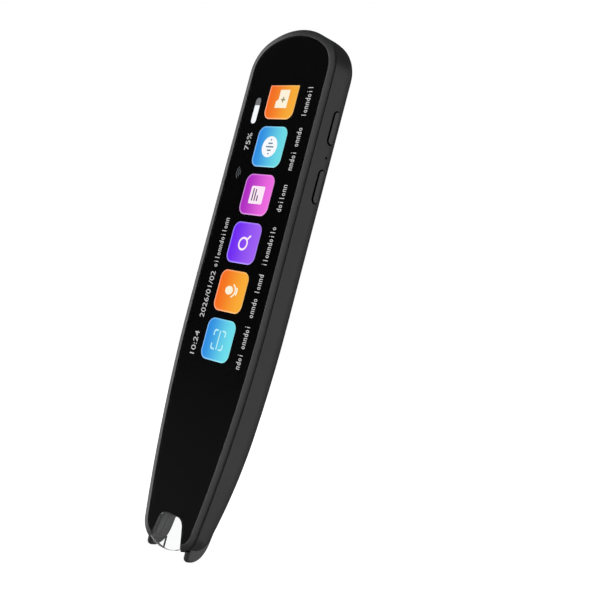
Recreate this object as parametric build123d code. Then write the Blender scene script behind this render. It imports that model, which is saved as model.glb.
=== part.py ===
from build123d import *

import math
import os

# A handheld translator: a flat scanning pen that stands on its tip.
# X runs across the pen, +Y to its back, +Z from its tip to its rounded top, in millimetres.
# Depths are counted from the front glass, y = 0, and the whole pen is centred in Y on export.

# Overall size
LENGTH = 152.0
HALF_WIDTH = 17.3
DEPTH = 11.0

# Outline seen from the front, as arcs that run into each other
TOP_ARC = 23.5
SHOULDER = 10.5
TAPER_START = 70.0
TAPER_ARC = 352.0
LEG_CORNER = 6.2
TIP_ARC = 30.75
TIP_Z = 1.5

# Back seen from the side
BACK_TAPER_START = 38.0
BACK_TAPER_ARC = 200.0
BACK_ROUND = 5.2

# Front frame, glass and parting groove
RIM_WIDTH = 1.9
RIM_DROP = 0.45
RIM_DEPTH = 0.75
SEAM = 0.3
GLASS_FRONT = 0.1
GLASS_BACK = 0.8
GLASS_EDGE = 0.08
GLASS_GAP = 0.05
GLUE = 0.15
GLUE_INSET = 0.1
GLUE_WIDTH = 0.35
GLUE_LOW = 14.3
WALL = 1.4
FIT = 0.05
FRAME_BACK = 3.75

# Snap catches that hold the frame in the shell, along both straight sides
CATCH_Z = (76.0, 98.0, 136.0)
CATCH_LENGTH = 4.0
CATCH_PROUD = 0.3
CATCH_DEPTHS = (2.0, 2.4, 3.1)
CATCH_PLAY = 0.12

# Notch between the legs
NOTCH_TOP = 10.8
NOTCH_HALF_TOP = 4.8
NOTCH_HALF_FOOT = 7.7
NOTCH_ROUND = 3.0
NOTCH_ROOF = 1.3

# Recess that slopes down to the notch on the back, and on along the legs' inner edges
RECESS_TOP = 15.0
RECESS_TOP_DEPTH = 9.68
RECESS_LOW_DEPTH = 6.9
RECESS_HALF = 6.0
RECESS_WALL = 1.2
LEG_RECESS_TOP = 8.5
LEG_RECESS_DEPTH = 6.2
LEG_RECESS_HALF = 7.35

# Clear window plate
PANE_FRONT = 0.1
PANE_STEP = 0.95
PANE_BACK = 1.75
PANE_LIP = 0.8
PANE_LIP_LOW = 4.6
PANE_LOW = 1.25
PANE_ARC = 14.7
GUIDE_WIDTH = 0.55
GUIDE_TOP = 4.75
GUIDE_GROOVE = 0.25
GUIDE_FILL = 0.06
GUIDE_PLAY = 0.01

# Feet and trigger
FOOT_X = 8.4
FOOT_WIDTH = 2.0
FOOT_TOP = 11.5
FOOT_FRONT = 1.2
FOOT_TOE_TOP = 2.9
FOOT_ROUND = 0.9
TOE_ROUND = 1.3
SOLE_END = 3.0
HEEL_STOPS = ((7.0, 2.2), (8.3, 5.4), (9.1, 10.3), (8.9, FOOT_TOP))
TOE_SLOT_TOP = 4.6
SHANK_START = 1.75
SLOT_PLAY = 0.15
TRIGGER_TRAVEL = 0.8
SHANK_FRONT = 4.4
SHANK_BACK = 6.4
SHANK_TOP = 17.0
YOKE_TOP = 34.0
YOKE_BAR = 3.0
YOKE_BACK = 7.6
TRIGGER_Y = 6.6
TRIGGER_CASE = ((-1.8, 1.8), (36.0, 39.2))
TRIGGER_CASE_BACK = 7.8
TRIGGER_STEM_TOP = 37.2
SPRING_X = -4.5
SPRING_RADIUS = 0.7
SPRING_TURNS = 3
SPRING_WIRE = 0.24
SPRING_CUP = (0.9, 1.2)
SPRING_TOP = 38.6
SPRING_SEAT = (2.4, 1.0)

# Side keys
KEY_Y = 6.15
KEY_WIDTH = 2.4
KEY_LENGTH = 9.4
KEY_Z = {"power": 125.0, "home": 108.2}
KEY_PROUD = 0.3
KEY_PLAY = 0.12
KEY_FLANGE_OUT = 15.25
KEY_FLANGE = 0.6
KEY_LIP = 0.4
KEY_NUB = 14.35
KEY_NUB_RADIUS = 0.9
SWITCH_OUT = 14.0
SWITCH_SIZE = 3.0
STEM_RADIUS = 0.6
STEM_PLAY = 0.05
STEM_SEAT = 13.7
SIDE_BOARD = ((12.5, 13.1), (3.9, 8.4), (102.0, 131.0))
MIC_Z = 116.5
MIC_CASE = (2.2, 3.0)
MIC_OUT = 14.2
MIC_HOLE = 0.4
MIC_PORT = 0.35

# Speaker
SPEAKER_Z = 131.8
GRILLE_RADIUS = 10.35
GRILLE_GROOVE = 0.5
GRILLE = 0.8
GRILLE_LEDGE = 1.35
SOUND_HOLE = 0.42
SOUND_RINGS = ((16, 3.86), (16, 5.76), (8, 7.68))
SPEAKER_RADIUS = 10.0
SPEAKER_MESH = 0.12
GASKET = 0.4
GASKET_WIDTH = 1.4
BASKET_DEPTH = 3.0
BASKET_SHEET = 0.6
BASKET_FOOT = 8.2
MAGNET_RADIUS = 6.6
MAGNET = 1.6
CONE = 0.2
CONE_STOPS = ((0.0, 0.1), (3.6, 0.9), (8.6, 0.3))

# Display
DISPLAY_HALF = 14.15
DISPLAY_ROUND = 1.0
DISPLAY_LOW = 50.0
DISPLAY_HIGH = 138.5
PANEL = 0.9
BACKLIGHT = 1.05
FLEX_HALF = 5.0
FLEX = 0.12
FLEX_BEND = 0.5
FLEX_END = 37.0
FLEX_SLOT = (12.0, 4.4)

# Boards and battery
BOARD_FRONT = 4.35
BOARD = 0.8
BOARD_HALF = 12.2
BOARD_LOW = 96.0
BOARD_HIGH = 148.0
BOARD_SCREWS = ((-10.6, 98.6), (10.6, 98.6), (-10.2, 139.5), (10.2, 139.5))
TIP_BOARD_HALF = 7.0
TIP_BOARD_LOW = 28.0
TIP_BOARD_HIGH = 40.0
TIP_SCREWS = ((-5.5, 29.6), (5.5, 29.6))
BOSS = 1.5
PILOT = 0.5
SCREW = 0.48
SCREW_HEAD = (1.15, 0.7)
SCREW_LENGTH = 1.3
SCREW_HOLE = 0.75
SHIELD = (3.6, 107.6, 10.4, 16.0, 1.6)
MEMORY = ((-10.4, -3.4), (108.6, 117.6), 1.0)
WIRELESS = ((-9.0, -2.6), (99.0, 106.8), 1.8)
ANTENNA = 0.2
ANTENNA_Z = (100.0, 134.0)
BATTERY_LOW = 50.5
BATTERY_HIGH = 93.0
BATTERY_HALF = 13.3
BATTERY_FRONT = 3.95
BATTERY = 5.0
BATTERY_ROUND = 1.2
BATTERY_SEAL = 2.6
SEAL_DEPTHS = (5.6, 7.0)
PAD_HALF = 9.0
PAD_INSET = 4.0

# USB-C port in the top end
USB_Y = 5.5
USB_WIDTH = 8.94
USB_HEIGHT = 3.16
USB_SHEET = 0.3
USB_LENGTH = 7.35
USB_MOUTH = 151.3
USB_BASE = 1.0
USB_TAB = (1.2, 1.6, 3.0)
USB_TONGUE = (6.7, 0.7, 5.2)

# Scanning optics
OPTICS_Y = 4.8
SCAN_OPENING = (7.0, 1.7)
SCAN_PLATE = (9.2, 2.8)
SCAN_PLATE_DEPTH = 0.8
LIGHT_BOARD = (9.2, 4.4)
LIGHT_BOARD_Z = 14.4
WELL_FRONT = 2.0
BRACKET_LOW = 15.2
BRACKET_HIGH = 27.0
BRACKET_HALF = 3.6
BRACKET_FRONT = 2.2
BRACKET_BACK = 7.4
EAR_SCREWS = ((-5.0, 20.5), (5.0, 20.5))
EAR = 0.8
EAR_HALF = 6.2
EAR_Z = (18.5, 22.5)
EAR_HOLE = 0.7
EAR_HEAD = (1.0, 0.6)
EAR_SCREW_LENGTH = 1.8
OPTICS_PLAY = 0.4
BARREL_RADIUS = 2.2
BARREL_BORE = 1.5
BARREL_LOW = 17.5
LENS_Z = (18.2, 20.2)
LENS_BALL = 3.0
LIGHT_HOLE = 1.9
LED = (1.6, 0.8, 0.7)
LED_PLACES = ((-3.1, -1.2), (-3.1, 1.2), (3.1, -1.2), (3.1, 1.2))
SENSOR_BOARD = 0.8

BACK = DEPTH - WALL
BOARD_BACK = BOARD_FRONT + BOARD
CAVITY_FLOOR = NOTCH_TOP + NOTCH_ROOF


def slab(sketch, front, back):
    """A flat shape drawn in X and Z, thickened from one depth to another."""
    return extrude(Plane.XZ.offset(-front) * sketch, amount=front - back)


def block(x, y, z):
    """A box between pairs of limits."""
    size = Box(x[1] - x[0], y[1] - y[0], z[1] - z[0])
    return Pos((x[0] + x[1]) / 2, (y[0] + y[1]) / 2, (z[0] + z[1]) / 2) * size


def disc(radius, front, back, x=0.0, z=0.0):
    """A round plate or pin that lies across the depth of the pen."""
    return slab(Pos(x, z) * Circle(radius), front, back)


def post(radius, low, high, x=0.0, y=0.0):
    """A round post along the pen."""
    return Pos(x, y, (low + high) / 2) * Cylinder(radius, high - low)


def stadium_prism(width, length, x_in, x_out, y, z):
    """A stadium, upright in Y and Z, that runs across the pen."""
    shape = Pos(y, z) * Rot(0, 0, 90) * SlotOverall(length, width)
    return extrude(Plane.YZ.offset(x_in) * shape, amount=x_out - x_in)


def arc_between(centre, radius, start, end):
    """The arc round a centre between two directions, given as unit vectors."""
    middle = (start + end).normalized()
    return ThreePointArc(
        centre + start * radius,
        centre + middle * radius,
        centre + end * radius,
    )


def tangent_centre(first, first_radius, second, second_radius, radius):
    """The lower centre of an arc that runs inside two larger arcs and touches both."""
    reach_a = first_radius - radius
    reach_b = second_radius - radius
    span = (second - first).length
    along = (reach_a**2 - reach_b**2 + span**2) / (2 * span)
    aside = math.sqrt(reach_a**2 - along**2)
    way = (second - first).normalized()
    foot = first + way * along
    crossings = [foot + Vector(way.Y, -way.X) * side for side in (aside, -aside)]
    return min(crossings, key=lambda point: point.Y)


def outline(inset=0.0):
    """The pen's outline, moved inwards all round by an inset."""
    top = Vector(0, LENGTH - TOP_ARC)
    shoulder_x = HALF_WIDTH - SHOULDER
    rise = math.sqrt((TOP_ARC - SHOULDER) ** 2 - shoulder_x**2)
    shoulder = Vector(shoulder_x, top.Y + rise)
    taper = Vector(HALF_WIDTH - TAPER_ARC, TAPER_START)
    tip = Vector(0, TIP_Z + TIP_ARC)
    corner = tangent_centre(taper, TAPER_ARC, tip, TIP_ARC, LEG_CORNER)

    up = Vector(0, 1)
    out = Vector(1, 0)
    to_shoulder = (shoulder - top).normalized()
    to_corner = (corner - taper).normalized()
    to_tip = (corner - tip).normalized()

    side = [
        arc_between(top, TOP_ARC - inset, up, to_shoulder),
        arc_between(shoulder, SHOULDER - inset, to_shoulder, out),
        Line(
            shoulder + out * (SHOULDER - inset),
            taper + out * (TAPER_ARC - inset),
        ),
        arc_between(taper, TAPER_ARC - inset, out, to_corner),
        arc_between(corner, LEG_CORNER - inset, to_corner, to_tip),
        arc_between(tip, TIP_ARC - inset, to_tip, -up),
    ]
    other_side = [mirror(edge, about=Plane.YZ) for edge in side]
    return make_face(Curve() + side + other_side)


def back_profile(inset=0.0):
    """Everything in front of the back surface, which curves forward towards the tip."""
    centre = Vector(DEPTH - BACK_TAPER_ARC, BACK_TAPER_START)
    radius = BACK_TAPER_ARC - inset
    low = math.radians(14.0)
    start = Vector(1, 0)
    end = Vector(math.cos(low), -math.sin(low))
    curve = arc_between(centre, radius, start, end)
    top_back = Vector(DEPTH - inset, LENGTH + 5)
    low_back = centre + end * radius
    lines = Polyline(
        centre + start * radius,
        top_back,
        (-5, LENGTH + 5),
        (-5, low_back.Y),
        low_back,
    )
    face = make_face(Curve() + [curve, lines])
    return extrude(Plane.YZ.offset(-HALF_WIDTH - 5) * face, amount=2 * HALF_WIDTH + 10)


def rounded_body(inset=0.0, front=0.0):
    """The pen's outer form behind a given depth, with its back edge rounded all round."""
    solid = slab(outline(inset), front, DEPTH - inset) & back_profile(inset)
    back_faces = solid.faces().filter_by(lambda face: face.normal_at().Y > 0.9)
    edges = [edge for face in back_faces for edge in face.edges()]
    rim = [edge for edge in edges if not is_across(edge)]
    return fillet(rim, BACK_ROUND - inset)


def is_across(edge):
    """Whether an edge runs straight from side to side, where the flat back meets its curve."""
    ends = (edge @ 0, edge @ 1)
    level = abs(ends[0].Z - ends[1].Z) < 0.01
    return level and abs(abs(ends[0].X) - abs(ends[1].X)) < 0.01 and abs(ends[0].X) > 5


def notch(grow=0.0, floor=-3.0):
    """The notch between the legs: sloping walls and two rounded upper corners."""
    slope = (NOTCH_HALF_FOOT - NOTCH_HALF_TOP) / NOTCH_TOP
    half_low = NOTCH_HALF_FOOT - slope * floor + grow
    half_top = NOTCH_HALF_TOP + grow - slope * grow
    points = [
        (-half_low, floor),
        (-half_top, NOTCH_TOP + grow),
        (half_top, NOTCH_TOP + grow),
        (half_low, floor),
    ]
    shape = make_face(Polyline(*points, close=True))
    upper = shape.vertices().sort_by(Axis.Y)[-2:]
    return fillet(upper, NOTCH_ROUND + grow)


def seat_mask(low, high, half=HALF_WIDTH + 5):
    """A wide upright rectangle used to keep a stretch of an outline."""
    return Pos(0, (low + high) / 2) * Rectangle(2 * half, high - low)


def foot_channels(top):
    """The channels that the feet slide in, open to the back."""
    return foot_slots((SHANK_START - SLOT_PLAY, DEPTH + 2), top)


def foot_slots(depths, top):
    """A pair of upright slots, one in each leg, a little wider than a foot."""
    half = FOOT_WIDTH / 2 + SLOT_PLAY
    slots = Part()
    for x in (-FOOT_X, FOOT_X):
        slots += block((x - half, x + half), depths, (-3, top))
    return slots


def make_cover_glass():
    glass = slab(outline(RIM_WIDTH + GLASS_GAP), GLASS_FRONT, GLASS_BACK)
    edge = glass.faces().sort_by(Axis.Y)[0].edges()
    glass = chamfer(edge, GLASS_EDGE)
    return glass - slab(notch(GLASS_GAP), -1, GLASS_BACK + 1)


def make_glass_adhesive():
    inset = RIM_WIDTH + GLUE_INSET
    ring = outline(inset) - outline(inset + GLUE_WIDTH)
    ring = ring & seat_mask(GLUE_LOW, LENGTH)
    return slab(ring, GLASS_BACK, GLASS_BACK + GLUE)


def make_front_frame():
    """A rim round the glass, a tongue inside the rear shell and a deck behind the display."""
    rim = slab(outline(), 0, RIM_DEPTH)
    front = rim.faces().sort_by(Axis.Y)[0]
    rim = chamfer(front.edges(), RIM_WIDTH, RIM_DROP, reference=front)
    tongue = slab(outline(WALL + FIT), RIM_DEPTH, FRAME_BACK)
    frame = rim + tongue + catches()
    frame -= slab(outline(RIM_WIDTH), -1, GLASS_BACK + GLUE)
    frame -= display_pocket()
    frame -= slab(notch(), -1, FRAME_BACK + 1)
    frame -= slab(notch(PANE_LIP + 0.1), PANE_STEP, PANE_BACK + 0.1)
    frame -= foot_channels(FOOT_TOP + TRIGGER_TRAVEL + 1.1)
    frame -= optics_well()
    frame += screw_bosses(BOARD_SCREWS)
    frame += screw_bosses(TIP_SCREWS)
    return frame


def display_pocket():
    """The pocket that the display sits in, and the slot that its flat cable passes through."""
    height = DISPLAY_HIGH - DISPLAY_LOW
    shape = RectangleRounded(2 * DISPLAY_HALF + 0.2, height + 0.2, DISPLAY_ROUND)
    middle = (DISPLAY_LOW + DISPLAY_HIGH) / 2
    pocket = slab(Pos(0, middle) * shape, 0, GLASS_BACK + PANEL + BACKLIGHT + 0.1)
    slot = Pos(0, DISPLAY_LOW - 2) * Rectangle(*FLEX_SLOT)
    return pocket + slab(slot, GLASS_BACK + GLUE, FRAME_BACK + 1)


def catches(play=0.0):
    """Catches along the frame's tongue that slope towards the back, or their pockets."""
    low, crest, high = CATCH_DEPTHS
    root = HALF_WIDTH - WALL - FIT
    profile = Polyline(
        (root - CATCH_PROUD, low - play),
        (root + CATCH_PROUD + play, low - play),
        (root + CATCH_PROUD + play, crest + play),
        (root, high + play),
        (root - CATCH_PROUD, high + play),
        close=True,
    )
    wedge = extrude(Plane.XY * make_face(profile), amount=CATCH_LENGTH / 2 + play, both=True)
    row = Part()
    for z in CATCH_Z:
        row += Pos(0, 0, z) * wedge
    return row + mirror(row, about=Plane.YZ)


def optics_well():
    """The opening in the deck that the scanning optics reach through, with pilot holes."""
    light = LIGHT_BOARD[0] / 2 + OPTICS_PLAY
    bracket = BRACKET_HALF + OPTICS_PLAY
    depths = (WELL_FRONT, FRAME_BACK + 1)
    well = block((-light, light), depths, (CAVITY_FLOOR, BRACKET_LOW + OPTICS_PLAY))
    well += block((-bracket, bracket), depths, (BRACKET_LOW, TIP_BOARD_LOW + OPTICS_PLAY))
    for x, z in EAR_SCREWS:
        well += disc(PILOT, FRAME_BACK + EAR - EAR_SCREW_LENGTH, FRAME_BACK + 1, x, z)
    return well


def screw_bosses(places):
    """Pillars on the deck that carry a board, with pilot holes for its screws."""
    bosses = Part()
    for x, z in places:
        bosses += disc(BOSS, FRAME_BACK - 0.2, BOARD_FRONT, x, z)
        bosses -= disc(PILOT, FRAME_BACK - 0.1, BOARD_FRONT + 1, x, z)
    return bosses


def make_rear_shell():
    """The deep back half: a rounded tray with solid legs round the notch."""
    seam = RIM_DEPTH + SEAM
    shell = rounded_body(0, seam)
    cavity = rounded_body(WALL, 0) & block((-30, 30), (-1, 20), (CAVITY_FLOOR, LENGTH + 5))
    shell -= cavity - tip_recess(RECESS_WALL)
    shell -= slab(outline(WALL), 0, FRAME_BACK + 0.1)
    shell -= slab(notch(), 0, DEPTH + 1)
    shell -= tip_recess()
    shell -= foot_channels(FOOT_TOP + TRIGGER_TRAVEL + 0.3)
    shell -= foot_slots((FOOT_FRONT - SLOT_PLAY, SHANK_START), TOE_SLOT_TOP)
    shell -= catches(CATCH_PLAY)
    shell -= key_openings()
    shell -= port_openings()
    shell -= scan_opening()
    return shell


def tip_recess(wall=0.0):
    """The recess above the notch and along the legs, or that form with a wall round it."""
    run = RECESS_TOP_DEPTH - RECESS_LOW_DEPTH
    rise = RECESS_TOP - NOTCH_TOP
    lift = wall * math.hypot(run, rise) / rise
    behind = DEPTH + 3
    side_view = Polyline(
        (RECESS_TOP_DEPTH - lift, RECESS_TOP),
        (behind, RECESS_TOP),
        (behind, -3),
        (LEG_RECESS_DEPTH - lift, -3),
        (LEG_RECESS_DEPTH - lift, LEG_RECESS_TOP),
        (RECESS_LOW_DEPTH - lift, NOTCH_TOP),
        close=True,
    )
    reach = LEG_RECESS_HALF + wall
    half = RECESS_HALF + wall
    back_view = Polyline(
        (half, RECESS_TOP),
        (half, NOTCH_TOP),
        (reach, LEG_RECESS_TOP),
        (reach, -3),
        (-reach, -3),
        (-reach, LEG_RECESS_TOP),
        (-half, NOTCH_TOP),
        (-half, RECESS_TOP),
        close=True,
    )
    sloped = extrude(Plane.YZ.offset(-reach) * make_face(side_view), amount=2 * reach)
    return sloped & slab(make_face(back_view), 0, behind)


def key_openings():
    """Slots for the two side keys and the microphone's hole between them."""
    cuts = Part()
    for z in KEY_Z.values():
        cuts += stadium_prism(
            KEY_WIDTH + 2 * KEY_PLAY, KEY_LENGTH + 2 * KEY_PLAY, 14, 19, KEY_Y, z
        )
    return cuts + across_pin(MIC_HOLE, MIC_OUT, HALF_WIDTH + 1, KEY_Y, MIC_Z)


def port_openings():
    """The speaker seat in the back and the USB-C mouth in the top end."""
    seat = disc(GRILLE_RADIUS + GRILLE_GROOVE, DEPTH - GRILLE, DEPTH + 1, z=SPEAKER_Z)
    throat = disc(GRILLE_RADIUS - GRILLE_LEDGE, BACK - 1, DEPTH, z=SPEAKER_Z)
    mouth = Pos(0, USB_Y) * SlotOverall(USB_WIDTH + 0.3, USB_HEIGHT + 0.3)
    usb = extrude(Plane.XY.offset(LENGTH - 8) * mouth, amount=12)
    return seat + throat + usb


def scan_opening():
    """The opening in the roof of the notch that the optics look through."""
    shape = Pos(0, OPTICS_Y) * RectangleRounded(*SCAN_OPENING, 0.8)
    return extrude(Plane.XY.offset(NOTCH_TOP - 2) * shape, amount=NOTCH_ROOF + 4)


def make_clear_window():
    """A clear plate: a pane flush in the notch, on a lip tucked behind the legs."""
    low = Pos(0, PANE_LOW + PANE_ARC) * Circle(PANE_ARC)
    keep = low + seat_mask(PANE_LOW + PANE_ARC, LENGTH)
    pane = slab(notch(-GLASS_GAP) & keep, PANE_FRONT, PANE_STEP)
    lip_mask = seat_mask(PANE_LIP_LOW, LENGTH)
    lip = slab((notch(PANE_LIP) & lip_mask) + (notch(-GLASS_GAP) & keep), PANE_STEP, PANE_BACK)
    return pane + lip - guide_bar(-1, GUIDE_GROOVE)


def guide_bar(front, depth, play=0.0):
    """A narrow upright bar in the middle of the pane, between two depths behind its face."""
    height = GUIDE_TOP - PANE_LOW
    shape = Pos(0, PANE_LOW + height / 2) * Rectangle(GUIDE_WIDTH - 2 * play, height - 2 * play)
    return slab(shape, PANE_FRONT + front, PANE_FRONT + depth - play)


def make_guide_line():
    """The dark filling of the groove, sunk a little below the pane's face."""
    low = Pos(0, PANE_LOW + PANE_ARC) * Circle(PANE_ARC - GUIDE_PLAY)
    return guide_bar(GUIDE_FILL, GUIDE_GROOVE, GUIDE_PLAY) & slab(low, 0, PANE_BACK)


def foot_profile():
    """A foot seen from the side: a skid that curls up to the heel, with a straight shank."""
    toe = ThreePointArc(
        (FOOT_FRONT, TOE_ROUND),
        Vector(FOOT_FRONT + TOE_ROUND, TOE_ROUND) + Vector(0, -TOE_ROUND).rotate(Axis.Z, -45),
        (FOOT_FRONT + TOE_ROUND, 0),
    )
    skid = [toe, Line(toe @ 1, (SOLE_END, 0))]
    for stop in HEEL_STOPS:
        skid.append(TangentArc(skid[-1] @ 1, stop, tangent=skid[-1] % 1))
    upper = Polyline(
        skid[-1] @ 1,
        (SHANK_BACK, FOOT_TOP),
        (SHANK_BACK, SHANK_TOP),
        (SHANK_FRONT, SHANK_TOP),
        (SHANK_FRONT, 10.0),
        (SHANK_START, 8.0),
        (SHANK_START, FOOT_TOE_TOP),
        (FOOT_FRONT, FOOT_TOE_TOP),
        toe @ 0,
    )
    return make_face(Curve() + skid + [upper])


def make_foot(side):
    """A foot: a fin with a round back that slides in its leg and reaches up to the yoke."""
    middle = side * FOOT_X
    face = Plane.YZ.offset(middle - FOOT_WIDTH / 2) * foot_profile()
    foot = extrude(face, amount=FOOT_WIDTH)
    return fillet([edge for edge in foot.edges() if is_skid_edge(edge)], FOOT_ROUND)


def is_skid_edge(edge):
    """Whether an edge runs along the skid, from the top of the toe round to the heel."""
    if edge.geom_type == GeomType.CIRCLE:
        return True
    centre = edge.center()
    along = abs((edge @ 0).X - (edge @ 1).X) < 0.01
    on_toe = abs(centre.Y - FOOT_FRONT) < 0.01
    on_sole = abs(centre.Z) < 0.01
    return along and (on_toe or on_sole)


def make_trigger_yoke():
    """Two arms from the feet up to a bar that presses the tip switch."""
    yoke = block(
        (-FOOT_X - 1, FOOT_X + 1),
        (SHANK_BACK - 0.8, YOKE_BACK),
        (YOKE_TOP - YOKE_BAR, YOKE_TOP),
    )
    for side in (-1, 1):
        x = sorted((side * (FOOT_X - 1), side * (FOOT_X + 1)))
        yoke += block(x, (SHANK_FRONT, YOKE_BACK), (SHANK_TOP, YOKE_TOP))
    cup_radius, cup = SPRING_CUP
    return yoke - post(cup_radius, YOKE_TOP - cup, YOKE_TOP + 1, x=SPRING_X, y=TRIGGER_Y)


def make_tip_board():
    sides = (-TIP_BOARD_HALF, TIP_BOARD_HALF)
    board = block(sides, (BOARD_FRONT, BOARD_BACK), (TIP_BOARD_LOW, TIP_BOARD_HIGH))
    for x, z in TIP_SCREWS:
        board -= disc(SCREW_HOLE, BOARD_FRONT - 1, BOARD_BACK + 1, x, z)
    return board


def make_trigger_switch():
    """A side-push switch on the tip board, with a bore for its stem."""
    sides, heights = TRIGGER_CASE
    case = block(sides, (BOARD_BACK, TRIGGER_CASE_BACK), heights)
    bore_top = TRIGGER_STEM_TOP + TRIGGER_TRAVEL + 0.2
    return case - post(STEM_RADIUS + STEM_PLAY, heights[0] - 1, bore_top, y=TRIGGER_Y)


def make_trigger_stem():
    return post(STEM_RADIUS, YOKE_TOP + 0.02, TRIGGER_STEM_TOP, y=TRIGGER_Y)


def make_trigger_spring():
    """The return spring, between the yoke and a seat on the tip board."""
    low = YOKE_TOP - SPRING_CUP[1] + SPRING_WIRE / 2
    height = SPRING_TOP - low
    path = Helix(height / SPRING_TURNS, height, SPRING_RADIUS)
    section = Plane(path @ 0, z_dir=path % 0) * Rectangle(SPRING_WIRE, SPRING_WIRE)
    return Pos(SPRING_X, TRIGGER_Y, low) * sweep(section, path, is_frenet=True)


def make_spring_seat():
    width, height = SPRING_SEAT
    low = SPRING_TOP + SPRING_WIRE / 2 + 0.08
    sides = (SPRING_X - width / 2, SPRING_X + width / 2)
    return block(sides, (BOARD_BACK, TRIGGER_CASE_BACK), (low, low + height))


def make_key(name):
    """A side key: a stadium cap, a flange that keeps it in, and a nub on its switch."""
    z = KEY_Z[name]
    cap = stadium_prism(KEY_WIDTH, KEY_LENGTH, KEY_FLANGE_OUT - 0.1, 19, KEY_Y, z)
    cap = cap & slab(outline(-KEY_PROUD), 0, DEPTH + 2) & grown_back()
    flange = stadium_prism(
        KEY_WIDTH + 2 * KEY_LIP,
        KEY_LENGTH + 2 * KEY_LIP + 0.6,
        KEY_FLANGE_OUT - KEY_FLANGE,
        KEY_FLANGE_OUT,
        KEY_Y,
        z,
    )
    nub = across_pin(KEY_NUB_RADIUS, KEY_NUB, KEY_FLANGE_OUT - KEY_FLANGE + 0.1, KEY_Y, z)
    return cap + flange + nub


def grown_back():
    """The side wall and back corner, grown outwards by what the keys stand proud."""
    radius = BACK_ROUND + KEY_PROUD
    corner = Pos(HALF_WIDTH - BACK_ROUND, DEPTH - BACK_ROUND) * Circle(radius)
    flat = Pos(HALF_WIDTH - 10 + KEY_PROUD, (DEPTH - BACK_ROUND) / 2) * Rectangle(
        20, DEPTH - BACK_ROUND
    )
    return extrude(Plane.XY.offset(90) * (corner + flat), amount=60)


def across_pin(radius, x_in, x_out, y, z):
    """A round pin that lies across the pen."""
    middle = Pos((x_in + x_out) / 2, y, z)
    return middle * Rot(0, 90, 0) * Cylinder(radius, x_out - x_in)


def make_switch(name):
    """A key switch on the side board, with a bore for its stem."""
    z = KEY_Z[name]
    half = SWITCH_SIZE / 2
    face = SIDE_BOARD[0][1]
    case = block((face, SWITCH_OUT), (KEY_Y - half, KEY_Y + half), (z - half, z + half))
    return case - across_pin(STEM_RADIUS + STEM_PLAY, STEM_SEAT - 0.3, 15, KEY_Y, z)


def make_switch_stem(name):
    return across_pin(STEM_RADIUS, STEM_SEAT, KEY_NUB - 0.01, KEY_Y, KEY_Z[name])


def make_side_key_board():
    return block(*SIDE_BOARD)


def make_microphone():
    """The microphone's can, with its port in line with the hole in the side."""
    width, height = MIC_CASE
    depths = (KEY_Y - width / 2, KEY_Y + width / 2)
    case = block((SIDE_BOARD[0][1], MIC_OUT), depths, (MIC_Z - height / 2, MIC_Z + height / 2))
    return case - across_pin(MIC_PORT, MIC_OUT - 0.6, MIC_OUT + 1, KEY_Y, MIC_Z)


def make_speaker_grille():
    """A round insert with three rings of sound holes."""
    grille = disc(GRILLE_RADIUS, DEPTH - GRILLE, DEPTH, z=SPEAKER_Z)
    grille = chamfer(grille.faces().sort_by(Axis.Y)[-1].edges(), 0.1)
    holes = Sketch()
    for count, radius in SOUND_RINGS:
        holes += PolarLocations(radius, count) * Circle(SOUND_HOLE)
    return grille - slab(Pos(0, SPEAKER_Z) * holes, BACK, DEPTH + 1)


def make_speaker_mesh():
    front = DEPTH - GRILLE - SPEAKER_MESH
    return disc(GRILLE_RADIUS - GRILLE_LEDGE - 0.1, front, DEPTH - GRILLE, z=SPEAKER_Z)


def make_speaker_gasket():
    ring = Circle(SPEAKER_RADIUS) - Circle(SPEAKER_RADIUS - GASKET_WIDTH)
    return slab(Pos(0, SPEAKER_Z) * ring, BACK - GASKET, BACK)


def speaker_turned(points):
    """A ring turned about the speaker's axis, from points of radius and depth."""
    profile = make_face(Polyline(*points, close=True))
    turned = revolve(Plane.XY * profile, Axis.Y)
    return Pos(0, 0, SPEAKER_Z) * turned


def make_speaker_basket():
    """A pressed dish with a flared wall and a turned-in floor."""
    front = BACK - BASKET_DEPTH
    back = BACK - GASKET
    wall = SPEAKER_RADIUS - GASKET_WIDTH
    flare = SPEAKER_RADIUS - BASKET_FOOT - BASKET_SHEET
    return speaker_turned(
        (
            (MAGNET_RADIUS, front),
            (BASKET_FOOT, front),
            (SPEAKER_RADIUS, front + flare),
            (SPEAKER_RADIUS, back),
            (wall, back),
            (wall, front + flare + 0.3),
            (BASKET_FOOT - 0.4, front + BASKET_SHEET),
            (MAGNET_RADIUS, front + BASKET_SHEET),
        )
    )


def make_speaker_magnet():
    front = BACK - BASKET_DEPTH - 0.3
    return disc(MAGNET_RADIUS, front, front + MAGNET, z=SPEAKER_Z)


def make_speaker_cone():
    """The cone: a thin dish with a raised cap, hung at its rim."""
    back = BACK - GASKET - 0.1
    rear = [(radius, back - drop) for radius, drop in CONE_STOPS]
    front = [(radius, depth - CONE) for radius, depth in reversed(rear)]
    return speaker_turned(rear + front)


def make_display_panel():
    shape = RectangleRounded(2 * DISPLAY_HALF, DISPLAY_HIGH - DISPLAY_LOW, DISPLAY_ROUND)
    return slab(Pos(0, (DISPLAY_LOW + DISPLAY_HIGH) / 2) * shape, GLASS_BACK, GLASS_BACK + PANEL)


def make_display_backlight():
    shape = RectangleRounded(2 * DISPLAY_HALF - 0.4, DISPLAY_HIGH - DISPLAY_LOW - 0.6, 0.8)
    front = GLASS_BACK + PANEL
    return slab(Pos(0, (DISPLAY_LOW + DISPLAY_HIGH) / 2) * shape, front, front + BACKLIGHT)


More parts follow.
